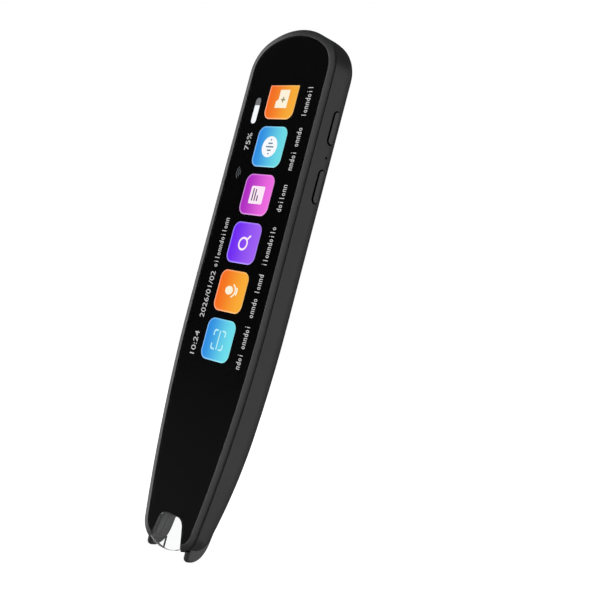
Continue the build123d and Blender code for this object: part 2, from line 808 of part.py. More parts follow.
def make_display_flex():
    """The display's flat cable, folded down through the deck to the tip board."""
    start = GLASS_BACK + PANEL / 2
    turn = DISPLAY_LOW - 2.0
    end = BOARD_FRONT - FLEX / 2
    path = FilletPolyline(
        (start, DISPLAY_LOW - 0.1),
        (start, turn),
        (end, turn),
        (end, FLEX_END),
        radius=FLEX_BEND,
    )
    ribbon = offset(path, FLEX / 2, side=Side.BOTH)
    return extrude(Plane.YZ.offset(-FLEX_HALF) * make_face(ribbon), amount=2 * FLEX_HALF)


def make_main_board():
    """The main board, cut out for the sunk USB-C receptacle and drilled for its screws."""
    shape = Pos(0, (BOARD_LOW + BOARD_HIGH) / 2) * RectangleRounded(
        2 * BOARD_HALF, BOARD_HIGH - BOARD_LOW, 1.0
    )
    shape -= Pos(0, BOARD_HIGH) * Rectangle(USB_WIDTH + 0.4, 8.2)
    shape &= outline(WALL + 0.6)
    board = slab(shape, BOARD_FRONT, BOARD_BACK)
    for x, z in BOARD_SCREWS:
        board -= disc(SCREW_HOLE, BOARD_FRONT - 1, BOARD_BACK + 1, x, z)
    return board


def make_processor_shield():
    """A pressed can over the processor, with rounded corners."""
    x, z, width, height, depth = SHIELD
    shape = Pos(x, z) * RectangleRounded(width, height, 0.8)
    return slab(shape, BOARD_BACK, BOARD_BACK + depth)


def make_chip(sides, heights, depth):
    return block(sides, (BOARD_BACK, BOARD_BACK + depth), heights)


def make_antenna():
    """A thin strip aerial on the inside of the left wall."""
    wall = WALL - HALF_WIDTH
    return block((wall, wall + ANTENNA), (FRAME_BACK + 0.2, 5.6), ANTENNA_Z)


def screws(places, head, length, seat):
    """Small pan-head screws driven from the back, as a group of separate solids."""
    head_radius, head_height = head
    group = []
    for x, z in places:
        screw = disc(head_radius, seat, seat + head_height, x, z)
        screw += disc(SCREW, seat - length, seat + 0.1, x, z)
        group.append(screw)
    return Compound(group)


def make_board_screws():
    return screws(BOARD_SCREWS + TIP_SCREWS, SCREW_HEAD, SCREW_LENGTH, BOARD_BACK)


def make_battery():
    """A flat pouch cell with rounded long edges and a folded top seal."""
    cell = block(
        (-BATTERY_HALF, BATTERY_HALF),
        (BATTERY_FRONT, BATTERY_FRONT + BATTERY),
        (BATTERY_LOW, BATTERY_HIGH),
    )
    cell = fillet(cell.edges().filter_by(Axis.Z), BATTERY_ROUND)
    sides = (BATTERY_ROUND - BATTERY_HALF, BATTERY_HALF - BATTERY_ROUND)
    return cell + block(sides, SEAL_DEPTHS, (BATTERY_HIGH, BATTERY_HIGH + BATTERY_SEAL))


def make_battery_pad():
    heights = (BATTERY_LOW + PAD_INSET, BATTERY_HIGH - PAD_INSET)
    return block((-PAD_HALF, PAD_HALF), (FRAME_BACK, BATTERY_FRONT), heights)


def make_usb_receptacle():
    """The folded metal shell of the USB-C port, open at its mouth."""
    outer = Pos(0, USB_Y) * SlotOverall(USB_WIDTH, USB_HEIGHT)
    inner = Pos(0, USB_Y) * SlotOverall(USB_WIDTH - 2 * USB_SHEET, USB_HEIGHT - 2 * USB_SHEET)
    base = USB_MOUTH - USB_LENGTH
    shell = extrude(Plane.XY.offset(base) * outer, amount=USB_LENGTH)
    reach, tab_low, tab_high = USB_TAB
    half = USB_WIDTH / 2 + reach
    depths = (BOARD_BACK, BOARD_BACK + USB_SHEET)
    shell += block((-half, half), depths, (base + tab_low, base + tab_high))
    return shell - extrude(Plane.XY.offset(base + USB_BASE) * inner, amount=USB_LENGTH)


def make_usb_tongue():
    width, thickness, length = USB_TONGUE
    base = USB_MOUTH - USB_LENGTH + USB_BASE
    shape = Pos(0, USB_Y) * RectangleRounded(width, thickness, 0.3)
    return extrude(Plane.XY.offset(base) * shape, amount=length)


def make_scan_window():
    """The clear plate glued over the opening in the roof of the notch."""
    shape = Pos(0, OPTICS_Y) * RectangleRounded(*SCAN_PLATE, 0.8)
    return extrude(Plane.XY.offset(CAVITY_FLOOR) * shape, amount=SCAN_PLATE_DEPTH)


def make_light_board():
    """The LED board, with a round hole for the lens to look through."""
    shape = Pos(0, OPTICS_Y) * (RectangleRounded(*LIGHT_BOARD, 0.5) - Circle(LIGHT_HOLE))
    return extrude(Plane.XY.offset(LIGHT_BOARD_Z) * shape, amount=BRACKET_LOW - LIGHT_BOARD_Z)


def make_scan_leds():
    z = LIGHT_BOARD_Z - LED[2] / 2
    return Compound([Pos(x, OPTICS_Y + y, z) * Box(*LED) for x, y in LED_PLACES])


def make_optics_bracket():
    """The holder of the lens barrel, bored through, with a screwed ear on each side."""
    body = block(
        (-BRACKET_HALF, BRACKET_HALF),
        (BRACKET_FRONT, BRACKET_BACK),
        (BRACKET_LOW, BRACKET_HIGH),
    )
    ears = block((-EAR_HALF, EAR_HALF), (FRAME_BACK, FRAME_BACK + EAR), EAR_Z)
    bore = post(BARREL_RADIUS + 0.02, BRACKET_LOW - 1, BRACKET_HIGH + 1, y=OPTICS_Y)
    bracket = body + ears - bore
    for x, z in EAR_SCREWS:
        bracket -= disc(EAR_HOLE, 0, BRACKET_BACK + 1, x, z)
    return bracket


def make_bracket_screws():
    return screws(EAR_SCREWS, EAR_HEAD, EAR_SCREW_LENGTH, FRAME_BACK + EAR)


def make_lens_barrel():
    barrel = post(BARREL_RADIUS, BARREL_LOW, BRACKET_HIGH - 0.1, y=OPTICS_Y)
    return barrel - post(BARREL_BORE, BARREL_LOW - 1, BRACKET_HIGH + 1, y=OPTICS_Y)


def make_lens():
    """A doubly curved lens seated in the bore of the barrel."""
    low, high = LENS_Z
    blank = post(BARREL_BORE - 0.01, low, high, y=OPTICS_Y)
    ball_low = Pos(0, OPTICS_Y, low + LENS_BALL) * Sphere(LENS_BALL)
    ball_high = Pos(0, OPTICS_Y, high - LENS_BALL) * Sphere(LENS_BALL)
    return blank & ball_low & ball_high


def make_sensor_board():
    depths = (BRACKET_FRONT, BRACKET_BACK)
    heights = (BRACKET_HIGH, BRACKET_HIGH + SENSOR_BOARD)
    return block((-BRACKET_HALF, BRACKET_HALF), depths, heights)


def make_pieces():
    """Every piece of the pen by name."""
    pieces = {
        "front_frame": make_front_frame(),
        "rear_shell": make_rear_shell(),
        "cover_glass": make_cover_glass(),
        "glass_adhesive": make_glass_adhesive(),
        "display_panel": make_display_panel(),
        "display_backlight": make_display_backlight(),
        "display_flex": make_display_flex(),
        "clear_window": make_clear_window(),
        "guide_line": make_guide_line(),
        "left_foot": make_foot(-1),
        "right_foot": make_foot(1),
        "trigger_yoke": make_trigger_yoke(),
        "tip_board": make_tip_board(),
        "trigger_switch": make_trigger_switch(),
        "trigger_stem": make_trigger_stem(),
        "trigger_spring": make_trigger_spring(),
        "spring_seat": make_spring_seat(),
        "side_key_board": make_side_key_board(),
        "microphone": make_microphone(),
        "speaker_grille": make_speaker_grille(),
        "speaker_mesh": make_speaker_mesh(),
        "speaker_gasket": make_speaker_gasket(),
        "speaker_basket": make_speaker_basket(),
        "speaker_magnet": make_speaker_magnet(),
        "speaker_cone": make_speaker_cone(),
        "main_board": make_main_board(),
        "processor_shield": make_processor_shield(),
        "memory_chip": make_chip(*MEMORY),
        "wireless_module": make_chip(*WIRELESS),
        "antenna": make_antenna(),
        "board_screws": make_board_screws(),
        "battery": make_battery(),
        "battery_pad": make_battery_pad(),
        "usb_receptacle": make_usb_receptacle(),
        "usb_tongue": make_usb_tongue(),
        "scan_window": make_scan_window(),
        "light_board": make_light_board(),
        "scan_leds": make_scan_leds(),
        "optics_bracket": make_optics_bracket(),
        "bracket_screws": make_bracket_screws(),
        "lens_barrel": make_lens_barrel(),
        "lens": make_lens(),
        "sensor_board": make_sensor_board(),
    }
    for name in KEY_Z:
        pieces[f"{name}_key"] = make_key(name)
        pieces[f"{name}_switch"] = make_switch(name)
        pieces[f"{name}_switch_stem"] = make_switch_stem(name)
    return pieces


os.makedirs("parts", exist_ok=True)
for name, piece in make_pieces().items():
    centred = Pos(0, -DEPTH / 2, 0) * piece
    export_step(centred, f"parts/{name}.step")
    print(name, "volume", round(centred.volume, 1))
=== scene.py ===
# %% [markdown]
# # A handheld translator, dressed for its portrait
# The pen is 152 mm tall and stands on its tip. Its solids come from the frame: every moulding, key, foot and
# board is there at its real size and place. This lesson gives them their finishes, builds what only light
# makes visible (the lit screen behind the glass), and sets the camera and the studio.
# All sizes are in metres, as Blender's units are here. X runs across the pen, +Y to its back, +Z up.

import math

import bmesh
import bpy
from mathutils import Euler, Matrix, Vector


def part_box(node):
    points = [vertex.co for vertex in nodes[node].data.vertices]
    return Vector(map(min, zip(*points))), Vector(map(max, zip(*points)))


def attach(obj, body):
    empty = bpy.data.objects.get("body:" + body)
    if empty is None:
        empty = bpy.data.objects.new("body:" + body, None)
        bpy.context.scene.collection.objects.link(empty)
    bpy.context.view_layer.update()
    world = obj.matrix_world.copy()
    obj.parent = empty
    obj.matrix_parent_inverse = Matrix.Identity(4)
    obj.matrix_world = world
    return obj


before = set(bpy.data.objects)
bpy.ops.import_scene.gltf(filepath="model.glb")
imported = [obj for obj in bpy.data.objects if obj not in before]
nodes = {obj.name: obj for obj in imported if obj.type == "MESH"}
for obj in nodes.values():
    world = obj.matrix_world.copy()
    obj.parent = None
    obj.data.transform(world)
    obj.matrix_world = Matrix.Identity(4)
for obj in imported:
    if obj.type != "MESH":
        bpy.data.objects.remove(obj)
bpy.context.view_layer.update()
MM = 0.001

# %% [markdown]
# ## The places that everything is worked out from
# The glass, the display behind it and the speaker say where they are, so the picture on the screen and the
# insert in the back never have to be measured twice. The display's lit area is a little smaller than its panel.

# %% Measure the glass and the display
glass_low, glass_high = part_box("cover_glass")
panel_low, panel_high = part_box("display_panel")
GLASS_FRONT = glass_low.y
GLASS_BACK = glass_high.y
LIT_MARGIN = Vector((0.25, 0.0, 2.2)) * MM
LIT_TOP_MARGIN = 3.05 * MM
lit_low = panel_low + LIT_MARGIN
lit_high = Vector((panel_high.x - LIT_MARGIN.x, panel_high.y, panel_high.z - LIT_TOP_MARGIN))
print("glass is", round((GLASS_BACK - GLASS_FRONT) / MM, 2), "mm thick")
print("lit area from", [round(v / MM, 1) for v in lit_low], "to", [round(v / MM, 1) for v in lit_high])

# %% [markdown]
# Whatever is new, be it the camera, a lamp or a piece, is an object with its data that is put in the scene.

# %% Put an object in the scene
def new_object(name, data):
    """An object with its data, in the scene."""
    made = bpy.data.objects.new(name, data)
    bpy.context.scene.collection.objects.link(made)
    return made


print("collection:", bpy.context.scene.collection.name)

# %% [markdown]
# ## The camera
# The pen is seen from its right front corner, from a little below its middle, and the camera is rolled so that
# the pen leans to the right. A long lens keeps the two sides of the body nearly parallel.
# The camera is placed by its real position and three angles, which is easier to read than a matrix.

# %% Place the camera
CAMERA_PLACE = Vector((229.73, -202.01, 59.73)) * MM
CAMERA_AZIMUTH = 45.62
CAMERA_RISE = 3.247
CAMERA_ROLL = 14.63
LENS = 64.09
SENSOR_WIDTH = 36.0
NEAREST = 0.01

camera_data = bpy.data.cameras.new("portrait_camera")
camera_data.lens = LENS
camera_data.sensor_width = SENSOR_WIDTH
camera_data.clip_start = NEAREST
camera = new_object("portrait_camera", camera_data)
turn = Euler((math.radians(90 + CAMERA_RISE), 0, math.radians(CAMERA_AZIMUTH)), "XYZ").to_matrix()
roll = Euler((0, 0, math.radians(CAMERA_ROLL)), "XYZ").to_matrix()
camera.matrix_world = (turn @ roll).to_4x4()
camera.location = CAMERA_PLACE
bpy.context.scene.camera = camera
print("camera looks along", [round(v, 3) for v in (turn @ roll) @ Vector((0, 0, -1))])

# %% [markdown]
# ## The studio
# Black plastic and black glass have almost no colour of their own: what shows is the light they mirror. So the
# studio is a ring of soft boxes with dark gaps between them. The gap to the left of the front keeps the glass
# black, the boxes on both sides of it draw the bright rim, and the ones behind light the back and the sides.
# Each box is set by its direction round the pen, its height, its size and how bright its face looks.

# %% Soft boxes round the pen
PEN_MIDDLE = Vector((0, 0, 76)) * MM
SOFT_BOXES = (
    # name, azimuth, rise, distance, width, height, brightness of its face
    ("left_strip", -72, 4, 0.80, 0.20, 0.90, 3.0),
    ("front_box", -19, 6, 0.95, 0.36, 1.10, 1.35),
    ("right_box", 88, 14, 0.90, 0.50, 0.90, 1.3),
    ("right_back_box", 132, 0, 0.90, 0.50, 1.20, 1.05),
    ("back_box", 170, -2, 0.95, 0.34, 1.40, 0.4),
    ("left_back_strip", -108, 4, 0.90, 0.20, 0.90, 1.9),
    ("top_box", 20, 78, 0.90, 0.70, 0.70, 1.0),
)


def soft_box(name, azimuth, rise, distance, width, height, brightness):
    """A rectangular lamp that looks at the middle of the pen."""
    data = bpy.data.lights.new(name, "AREA")
    data.shape = "RECTANGLE"
    data.size = width
    data.size_y = height
    data.energy = brightness * math.pi * width * height
    lamp = new_object(name, data)
    around, up = math.radians(azimuth), math.radians(rise)
    way = Vector((math.sin(around) * math.cos(up), -math.cos(around) * math.cos(up), math.sin(up)))
    lamp.location = PEN_MIDDLE + way * distance
    lamp.rotation_euler = way.to_track_quat("Z", "Y").to_euler()
    lamp.visible_camera = False
    lamp.visible_transmission = False


for box in SOFT_BOXES:
    soft_box(*box)
print("soft boxes:", len(SOFT_BOXES))

# %% [markdown]
# ## Helpers for node trees
# A finish or a shape is a tree of nodes, and a node with its inputs takes several lines. These helpers make it
# one line. An input is a number, a colour or another node's output, and is named or counted as the node shows it.

# %% One line for a node
def fill(tree, node, inputs):
    """Gives a node's inputs their values, or links to them from other nodes' outputs."""
    for key, value in inputs.items():
        if isinstance(value, bpy.types.NodeSocket):
            tree.links.new(value, node.inputs[key])
        else:
            node.inputs[key].default_value = value
    return node


def add(tree, kind, inputs=None, **settings):
    """A new node in a tree, with its settings and with its inputs filled in."""
    node = tree.nodes.new(kind)
    for name, value in settings.items():
        setattr(node, name, value)
    return fill(tree, node, inputs or {})


def empty_tree(owner):
    """The node tree of a world or a material, emptied."""
    owner.use_nodes = True
    owner.node_tree.nodes.clear()
    return owner.node_tree


print("helpers for node trees:", [helper.__name__ for helper in (fill, add, empty_tree)])

# %% [markdown]
# The same few sums turn up in every finish: a product, a length, a value carried from one range to another. Each
# gets a name, so that a finish can be read as a sentence.

# %% Sums
def math_node(tree, operation, first, second=0.0, clamp=False):
    """The result of a calculation on two values."""
    return add(tree, "ShaderNodeMath", {0: first, 1: second}, operation=operation, use_clamp=clamp).outputs[0]


def product(tree, *factors):
    """Values multiplied together."""
    result = factors[0]
    for factor in factors[1:]:
        result = math_node(tree, "MULTIPLY", result, factor)
    return result


def beyond(tree, value, reach):
    """How far a value lies beyond a reach to either side of zero, and zero within it."""
    return math_node(tree, "MAXIMUM", math_node(tree, "SUBTRACT", math_node(tree, "ABSOLUTE", value), reach))


def vector_math(tree, operation, first, second=(0.0, 0.0, 0.0)):
    """The vector, or for a dot product or a length the number, that comes of a calculation on vectors."""
    node = add(tree, "ShaderNodeVectorMath", {0: first, 1: second}, operation=operation)
    return node.outputs["Value" if operation in ("DOT_PRODUCT", "LENGTH") else "Vector"]


def scaled(tree, vector, factor):
    """A vector or a colour times a number."""
    return add(tree, "ShaderNodeVectorMath", {0: vector, 3: factor}, operation="SCALE").outputs["Vector"]


def carry(tree, value, low=0.0, high=1.0, at_low=0.0, at_high=1.0, **settings):
    """A value carried from one range to another, and held at the ends."""
    inputs = {0: value, 1: low, 2: high, 3: at_low, 4: at_high}
    return add(tree, "ShaderNodeMapRange", inputs, **settings).outputs[0]


print("sums:", [helper.__name__ for helper in (math_node, product, beyond, vector_math, scaled, carry)])

# %% [markdown]
# A vector split into its parts, a colour between two, noise and stripes come back as often. Places are measured
# from the piece's own origin, which the frame keeps at the pen's, so a pattern moves with its piece.

# %% Places, colours and textures
# The distance at which Blender's wave texture repeats when its scale is one.
WAVE_PITCH = 0.314


def parts_of(tree, vector):
    """The X, the Y and the Z of a vector."""
    return add(tree, "ShaderNodeSeparateXYZ", {0: vector}).outputs


def vector_of(tree, inputs):
    """A vector from its parts, each under its letter."""
    return add(tree, "ShaderNodeCombineXYZ", inputs).outputs[0]


def own_place(tree):
    """Where a point lies on its own piece."""
    return add(tree, "ShaderNodeTexCoord").outputs["Object"]


def blend(tree, share, first, second, **settings):
    """A colour between two. Each is a red, a green and a blue, or another node's output."""
    inputs = {0: share}
    for label, colour in (("A", first), ("B", second)):
        inputs[label] = colour if isinstance(colour, bpy.types.NodeSocket) else (*colour, 1.0)
    return add(tree, "ShaderNodeMix", inputs, data_type="RGBA", **settings).outputs["Result"]


def noise(tree, place, scale, detail, **inputs):
    """Cloudy noise from 0 to 1."""
    inputs = {"Vector": place, "Scale": scale, "Detail": detail, **inputs}
    return add(tree, "ShaderNodeTexNoise", inputs).outputs[0]


def stripes(tree, place, pitch, direction):
    """Soft stripes from 0 to 1 that repeat at a pitch along an axis."""
    inputs = {"Vector": place, "Scale": WAVE_PITCH / pitch}
    return add(tree, "ShaderNodeTexWave", inputs, bands_direction=direction).outputs["Fac"]


print("a stripe texture of scale one repeats every", WAVE_PITCH, "m")

# %% [markdown]
# ## The backdrop
# The camera sees plain white behind the pen, and so does light that has passed through the clear window. Every
# other ray sees a dim room, which keeps the gaps between the soft boxes dark. The room is darkest just above
# level, and a little lighter towards its floor and its ceiling, so the glass shows a soft change along its length.
# A black curtain hangs behind it to the left, which keeps the far edge of the pen crisp against the white. Light
# that was mirrored inside clear plastic finds some brightness above level, so that clear edges aren't black.

# %% World
WHITE = (1.0, 1.0, 1.0, 1.0)
ROOM_TINT = (0.98, 0.985, 1.0, 1.0)
CURTAIN_WAY = (-0.57, 0.82, 0.0)
CURTAIN_EDGE = (0.6, 0.85)
CURTAIN_LIGHT = 0.1
EDGE_LIGHT = 0.5
EDGE_RISE = 0.08
# How high a direction points, from -1 straight down to 1 straight up, and how bright the room is there.
ROOM_LIGHT = (
    (-0.20, 0.150), (-0.10, 0.125), (-0.05, 0.095), (0.02, 0.045), (0.10, 0.034), (0.28, 0.065), (1.0, 0.12))


def room_level(tree, rise):
    """How bright the room is at each rise: a curve through the heights above."""
    level = add(tree, "ShaderNodeFloatCurve", {"Value": rise})
    level.mapping.use_clip = False
    curve = level.mapping.curves[0]
    curve.points[0].location = ROOM_LIGHT[0]
    curve.points[1].location = ROOM_LIGHT[-1]
    for height, brightness in ROOM_LIGHT[1:-1]:
        curve.points.new(height, brightness)
    level.mapping.update()
    return level.outputs[0]


def make_world():
    """White for the camera and for light that came straight through, and a dim room for every other ray."""
    world = bpy.data.worlds.new("studio")
    bpy.context.scene.world = world
    tree = empty_tree(world)
    path = add(tree, "ShaderNodeLightPath").outputs
    straight = product(
        tree, path["Is Transmission Ray"], math_node(tree, "LESS_THAN", path["Glossy Depth"], 0.5))
    seen = math_node(tree, "MAXIMUM", path["Is Camera Ray"], straight)
    heading = add(tree, "ShaderNodeTexCoord").outputs["Generated"]
    rise = parts_of(tree, heading)["Z"]
    likeness = vector_math(tree, "DOT_PRODUCT", heading, CURTAIN_WAY)
    curtain = carry(tree, likeness, *CURTAIN_EDGE, 1.0, CURTAIN_LIGHT)
    bent = math_node(tree, "SUBTRACT", path["Is Transmission Ray"], straight)
    inside = product(tree, carry(tree, rise, 0.0, EDGE_RISE, 0.0, EDGE_LIGHT), bent)
    strength = math_node(tree, "ADD", product(tree, room_level(tree, rise), curtain), inside)
    room = add(tree, "ShaderNodeBackground", {"Color": ROOM_TINT, "Strength": strength})
    paper = add(tree, "ShaderNodeBackground", {"Color": WHITE, "Strength": 1.0})
    mix = add(tree, "ShaderNodeMixShader", {0: seen, 1: room.outputs[0], 2: paper.outputs[0]})
    add(tree, "ShaderNodeOutputWorld", {"Surface": mix.outputs[0]})


make_world()
bpy.context.scene.view_settings.view_transform = "Standard"
print("room light, darkest:", min(brightness for _, brightness in ROOM_LIGHT))

# %% [markdown]
# The floor is a wide disc of pale card just under the feet. It glows a little by itself, so that it meets the
# white behind it without a line, and only the soft shadow round the tip shows that it is there. It is hidden
# from mirrored and refracted rays, or the glass would show it as bright bands.

# %% Lay the floor
FLOOR_RADIUS = 6.0
FLOOR_CORNERS = 96
FLOOR_COLOUR = (0.8, 0.8, 0.8, 1.0)
# The distances from the pen between which the glow rises to white, and the glow nearer than that.
GLOW_REACH = (0.1, 0.5)
GLOW_LEAST = 0.86


def make_floor():
    """The disc of card that the pen stands on."""
    bpy.ops.mesh.primitive_circle_add(vertices=FLOOR_CORNERS, radius=FLOOR_RADIUS, fill_type="NGON")
    floor = bpy.context.object
    floor.name = "floor"
    card = bpy.data.materials.new("pale_card")
    tree = empty_tree(card)
    glow = carry(tree, vector_math(tree, "LENGTH", own_place(tree)), *GLOW_REACH, GLOW_LEAST, 1.0)
    light = add(tree, "ShaderNodeEmission", {"Color": WHITE, "Strength": glow})
    matt = add(tree, "ShaderNodeBsdfDiffuse", {"Color": FLOOR_COLOUR})
    both = add(tree, "ShaderNodeAddShader", {0: light.outputs[0], 1: matt.outputs[0]})
    add(tree, "ShaderNodeOutputMaterial", {"Surface": both.outputs[0]})
    floor.data.materials.append(card)
    for ray in ("glossy", "transmission", "diffuse", "shadow"):
        setattr(floor, "visible_" + ray, False)


make_floor()
print("floor radius:", FLOOR_RADIUS, "m")

# %% [markdown]
# ## Effects that many finishes share
# A moulded black case is never one flat colour. Its mould was spark-eroded, which leaves a fine grain; hands
# polish its edges; and its gloss drifts a little from place to place. Each of these is a shader node group,
# built once and placed in each material with its own numbers.
# The grain is pits from a Voronoi texture with some cloud over them. A bevel node rounds the normal at the edges,
# which costs no geometry, and a bump node lays the grain on it.

# %% Group: moulded grain
SHADER_SOCKETS = {"value": "NodeSocketFloat", "colour": "NodeSocketColor", "vector": "NodeSocketVector"}
BEVEL_SAMPLES = 6
DRIFT_SCALE = 60.0


def values(*labels):
    """Sockets that are all plain numbers."""
    return dict.fromkeys(labels, "value")


def new_group(name, inputs, outputs):
    """A shader node group with named sockets, what its inputs give, and its output node."""
    group = bpy.data.node_groups.new(name, "ShaderNodeTree")
    for way, sockets in (("INPUT", inputs), ("OUTPUT", outputs)):
        for label, kind in sockets.items():
            group.interface.new_socket(label, in_out=way, socket_type=SHADER_SOCKETS[kind])
    return group, add(group, "NodeGroupInput").outputs, add(group, "NodeGroupOutput")


def make_grain_group():
    """Fine moulded grain: a bumped normal, and a roughness that drifts."""
    group, given, out = new_group(
        "moulded_grain", values("Grain", "Depth", "Edge", "Roughness", "Drift"),
        {"Normal": "vector", "Roughness": "value"})
    place = own_place(group)
    scale = math_node(group, "DIVIDE", 1.0, given["Grain"])
    pits = add(group, "ShaderNodeTexVoronoi", {"Vector": place, "Scale": scale}, feature="SMOOTH_F1")
    height = math_node(group, "ADD", pits.outputs["Distance"], noise(group, place, scale, 3.0))
    edge = add(group, "ShaderNodeBevel", {"Radius": given["Edge"]}, samples=BEVEL_SAMPLES)
    bump = add(group, "ShaderNodeBump", {
        "Height": height, "Distance": given["Depth"], "Strength": 1.0, "Normal": edge.outputs[0]})
    swing = math_node(group, "SUBTRACT", noise(group, place, DRIFT_SCALE, 4.0, Roughness=0.6), 0.5)
    rough = math_node(group, "ADD", given["Roughness"], product(group, swing, given["Drift"]), clamp=True)
    fill(group, out, {"Normal": bump.outputs[0], "Roughness": rough})
    return group


grain_group = make_grain_group()
print("group:", grain_group.name)

# %% [markdown]
# Edge wear compares the true normal with one rounded over a short radius. Where they differ there is an edge,
# and there the plastic is a shade lighter. Noise breaks the mask up, because hands never polish evenly. On the
# frame the mask is turned up, and there it also paints the highlight that a rounded edge would catch.

# %% Group: edge wear
WEAR_SCALE = 900.0
# How alike the two normals are where wear begins and where it is full, and the noise's range and what it gives.
WEAR_LIKENESS = (0.995, 0.85)
WEAR_PATCHES = (0.35, 0.65, 0.3, 1.0)


def make_wear_group():
    """A mask that is bright along edges and broken up by noise."""
    group, given, out = new_group("edge_wear", values("Width", "Amount"), values("Mask"))
    true = add(group, "ShaderNodeNewGeometry").outputs["Normal"]
    soft = add(group, "ShaderNodeBevel", {"Radius": given["Width"]}, samples=BEVEL_SAMPLES).outputs[0]
    edge = carry(group, vector_math(group, "DOT_PRODUCT", true, soft), *WEAR_LIKENESS)
    broken = carry(group, noise(group, own_place(group), WEAR_SCALE, 5.0), *WEAR_PATCHES)
    fill(group, out, {"Mask": product(group, edge, broken, given["Amount"])})
    return group


wear_group = make_wear_group()
print("group:", wear_group.name)

# %% [markdown]
# Fingers leave faint smears on gloss. They have no colour: they only scatter the light a little, so they are a
# roughness that is nearly nothing between the smears and rises where the noise is high.

# %% Group: smudges
SMEAR_SCALE = 90.0
SMEAR_EDGE = (0.5, 0.75)


def make_smudge_group():
    """Faint smears: a roughness that rises in patches."""
    group, given, out = new_group("smudges", values("Roughness", "Smear"), values("Roughness"))
    patches = noise(group, own_place(group), SMEAR_SCALE, 4.0, Distortion=0.6)
    smear = product(group, carry(group, patches, *SMEAR_EDGE), given["Smear"])
    fill(group, out, {"Roughness": math_node(group, "ADD", given["Roughness"], smear)})
    return group


smudge_group = make_smudge_group()
print("group:", smudge_group.name)

# %% [markdown]
# ## Where the tip gets painted light
# The walls of the notch and the shallow recess on the back above it are painted a paler grey than the case: it is
# painted light, for the way these faces, turned another way than the sides, catch the lamps. They are faces of the
# same mouldings, so a separate material would need the solids cut up. A mask does it instead: it is one between
# two leaning sides, under a top and behind a front, and it reads the place of each point.

# %% Group: the tip's painted light
NOTCH_TOP = 10.8 * MM
NOTCH_SLOPE = 2.9 / 10.8
NOTCH_HALF_LOW = 7.7 * MM
MASK_SPARE = 0.02 * MM
RECESS_HALF = 6.1 * MM
RECESS_TOP = 15.3 * MM
RECESS_FRONT = 0.8 * MM
EVERY_DEPTH = -1.0


def make_tip_group():
    """A mask that is one between two leaning sides, under a top and behind a front."""
    group, given, out = new_group("tip_mask", values("Half", "Slope", "Top", "Front"), values("Mask"))
    x, y, z = parts_of(group, own_place(group))
    side = math_node(group, "SUBTRACT", given["Half"], product(group, z, given["Slope"]))
    between = math_node(group, "LESS_THAN", math_node(group, "ABSOLUTE", x), side)
    below = math_node(group, "LESS_THAN", z, given["Top"])
    behind = math_node(group, "GREATER_THAN", y, given["Front"])
    fill(group, out, {"Mask": product(group, between, below, behind)})
    return group


tip_group = make_tip_group()
NOTCH = {
    "Half": NOTCH_HALF_LOW + MASK_SPARE, "Slope": NOTCH_SLOPE, "Top": NOTCH_TOP + MASK_SPARE, "Front": EVERY_DEPTH}
RECESS = {"Half": RECESS_HALF, "Slope": 0.0, "Top": RECESS_TOP, "Front": RECESS_FRONT}
print("group:", tip_group.name)

# %% [markdown]
# ## Painted shadow in the narrow gaps
# A ring of shadow runs round the speaker insert, and a line round each side key. The gaps are real, but so narrow
# that their edges, which catch the studio's light, would leave them thin and grey. So a mask paints the shadow: it
# blackens a hair on both sides of each gap and takes its gloss away. Its outline is a circle, or a stadium: a
# circle pulled apart by a straight stretch.

# %% Group: painted shadow in the gaps
RING_SPARE = 0.12 * MM
RING_GAP = 0.25 * MM
KEY_STRAIGHT = 3.5 * MM
KEY_RADIUS = 1.26 * MM
KEY_GAP = 0.2 * MM
SIDE_REACH = 12 * MM


def make_gap_group():
    """A mask that is one along the edge of a round or a long opening, and a little to both sides of it."""
    vectors = dict.fromkeys(("Middle", "Plane", "Way"), "vector")
    group, given, out = new_group(
        "dark_gap", {**vectors, **values("Reach", "Straight", "Radius", "Width")}, values("Mask"))
    place = own_place(group)
    away = vector_math(group, "SUBTRACT", place, given["Middle"])
    x, y, z = parts_of(group, vector_math(group, "MULTIPLY", away, given["Plane"]))
    corner = vector_of(group, {
        "X": math_node(group, "ADD", x, y), "Y": beyond(group, z, given["Straight"])})
    off = math_node(group, "SUBTRACT", vector_math(group, "LENGTH", corner), given["Radius"])
    near = math_node(group, "LESS_THAN", math_node(group, "ABSOLUTE", off), given["Width"])
    along = vector_math(group, "DOT_PRODUCT", place, given["Way"])
    outside = math_node(group, "GREATER_THAN", along, given["Reach"])
    fill(group, out, {"Mask": product(group, near, outside)})
    return group


def middle_of(node):
    """The middle of a solid's box, and half its width."""
    low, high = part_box(node)
    return (low + high) / 2, (high.x - low.x) / 2


gap_group = make_gap_group()
grille_middle, grille_radius = middle_of("speaker_grille")
# For each opening: its middle, the two axes of its plane, the axis out of it and from how far out the mask counts,
# its straight half, its radius, and how far to both sides of the outline the black goes.
GAPS = [{
    "Middle": grille_middle, "Plane": (1, 0, 1), "Way": (0, 1, 0), "Reach": 0.0,
    "Straight": 0.0, "Radius": grille_radius + RING_SPARE, "Width": RING_GAP}]
GAPS += [{
    "Middle": middle_of(key)[0], "Plane": (0, 1, 1), "Way": (1, 0, 0), "Reach": SIDE_REACH,
    "Straight": KEY_STRAIGHT, "Radius": KEY_RADIUS, "Width": KEY_GAP} for key in ("power_key", "home_key")]
print("group:", gap_group.name, "used", len(GAPS), "times")

# %% [markdown]
# Two faces get painted light. A painted highlight runs along the front frame's lip beside the glass, where a
# small rounded edge would catch the lamps, and fades out near the tip; and the flat back is painted a little paler
# than the sides, as the light from behind would make it. Both follow the depth of the pen, so a tone is
# mixed in between the depth where it is full and the one where it has gone.

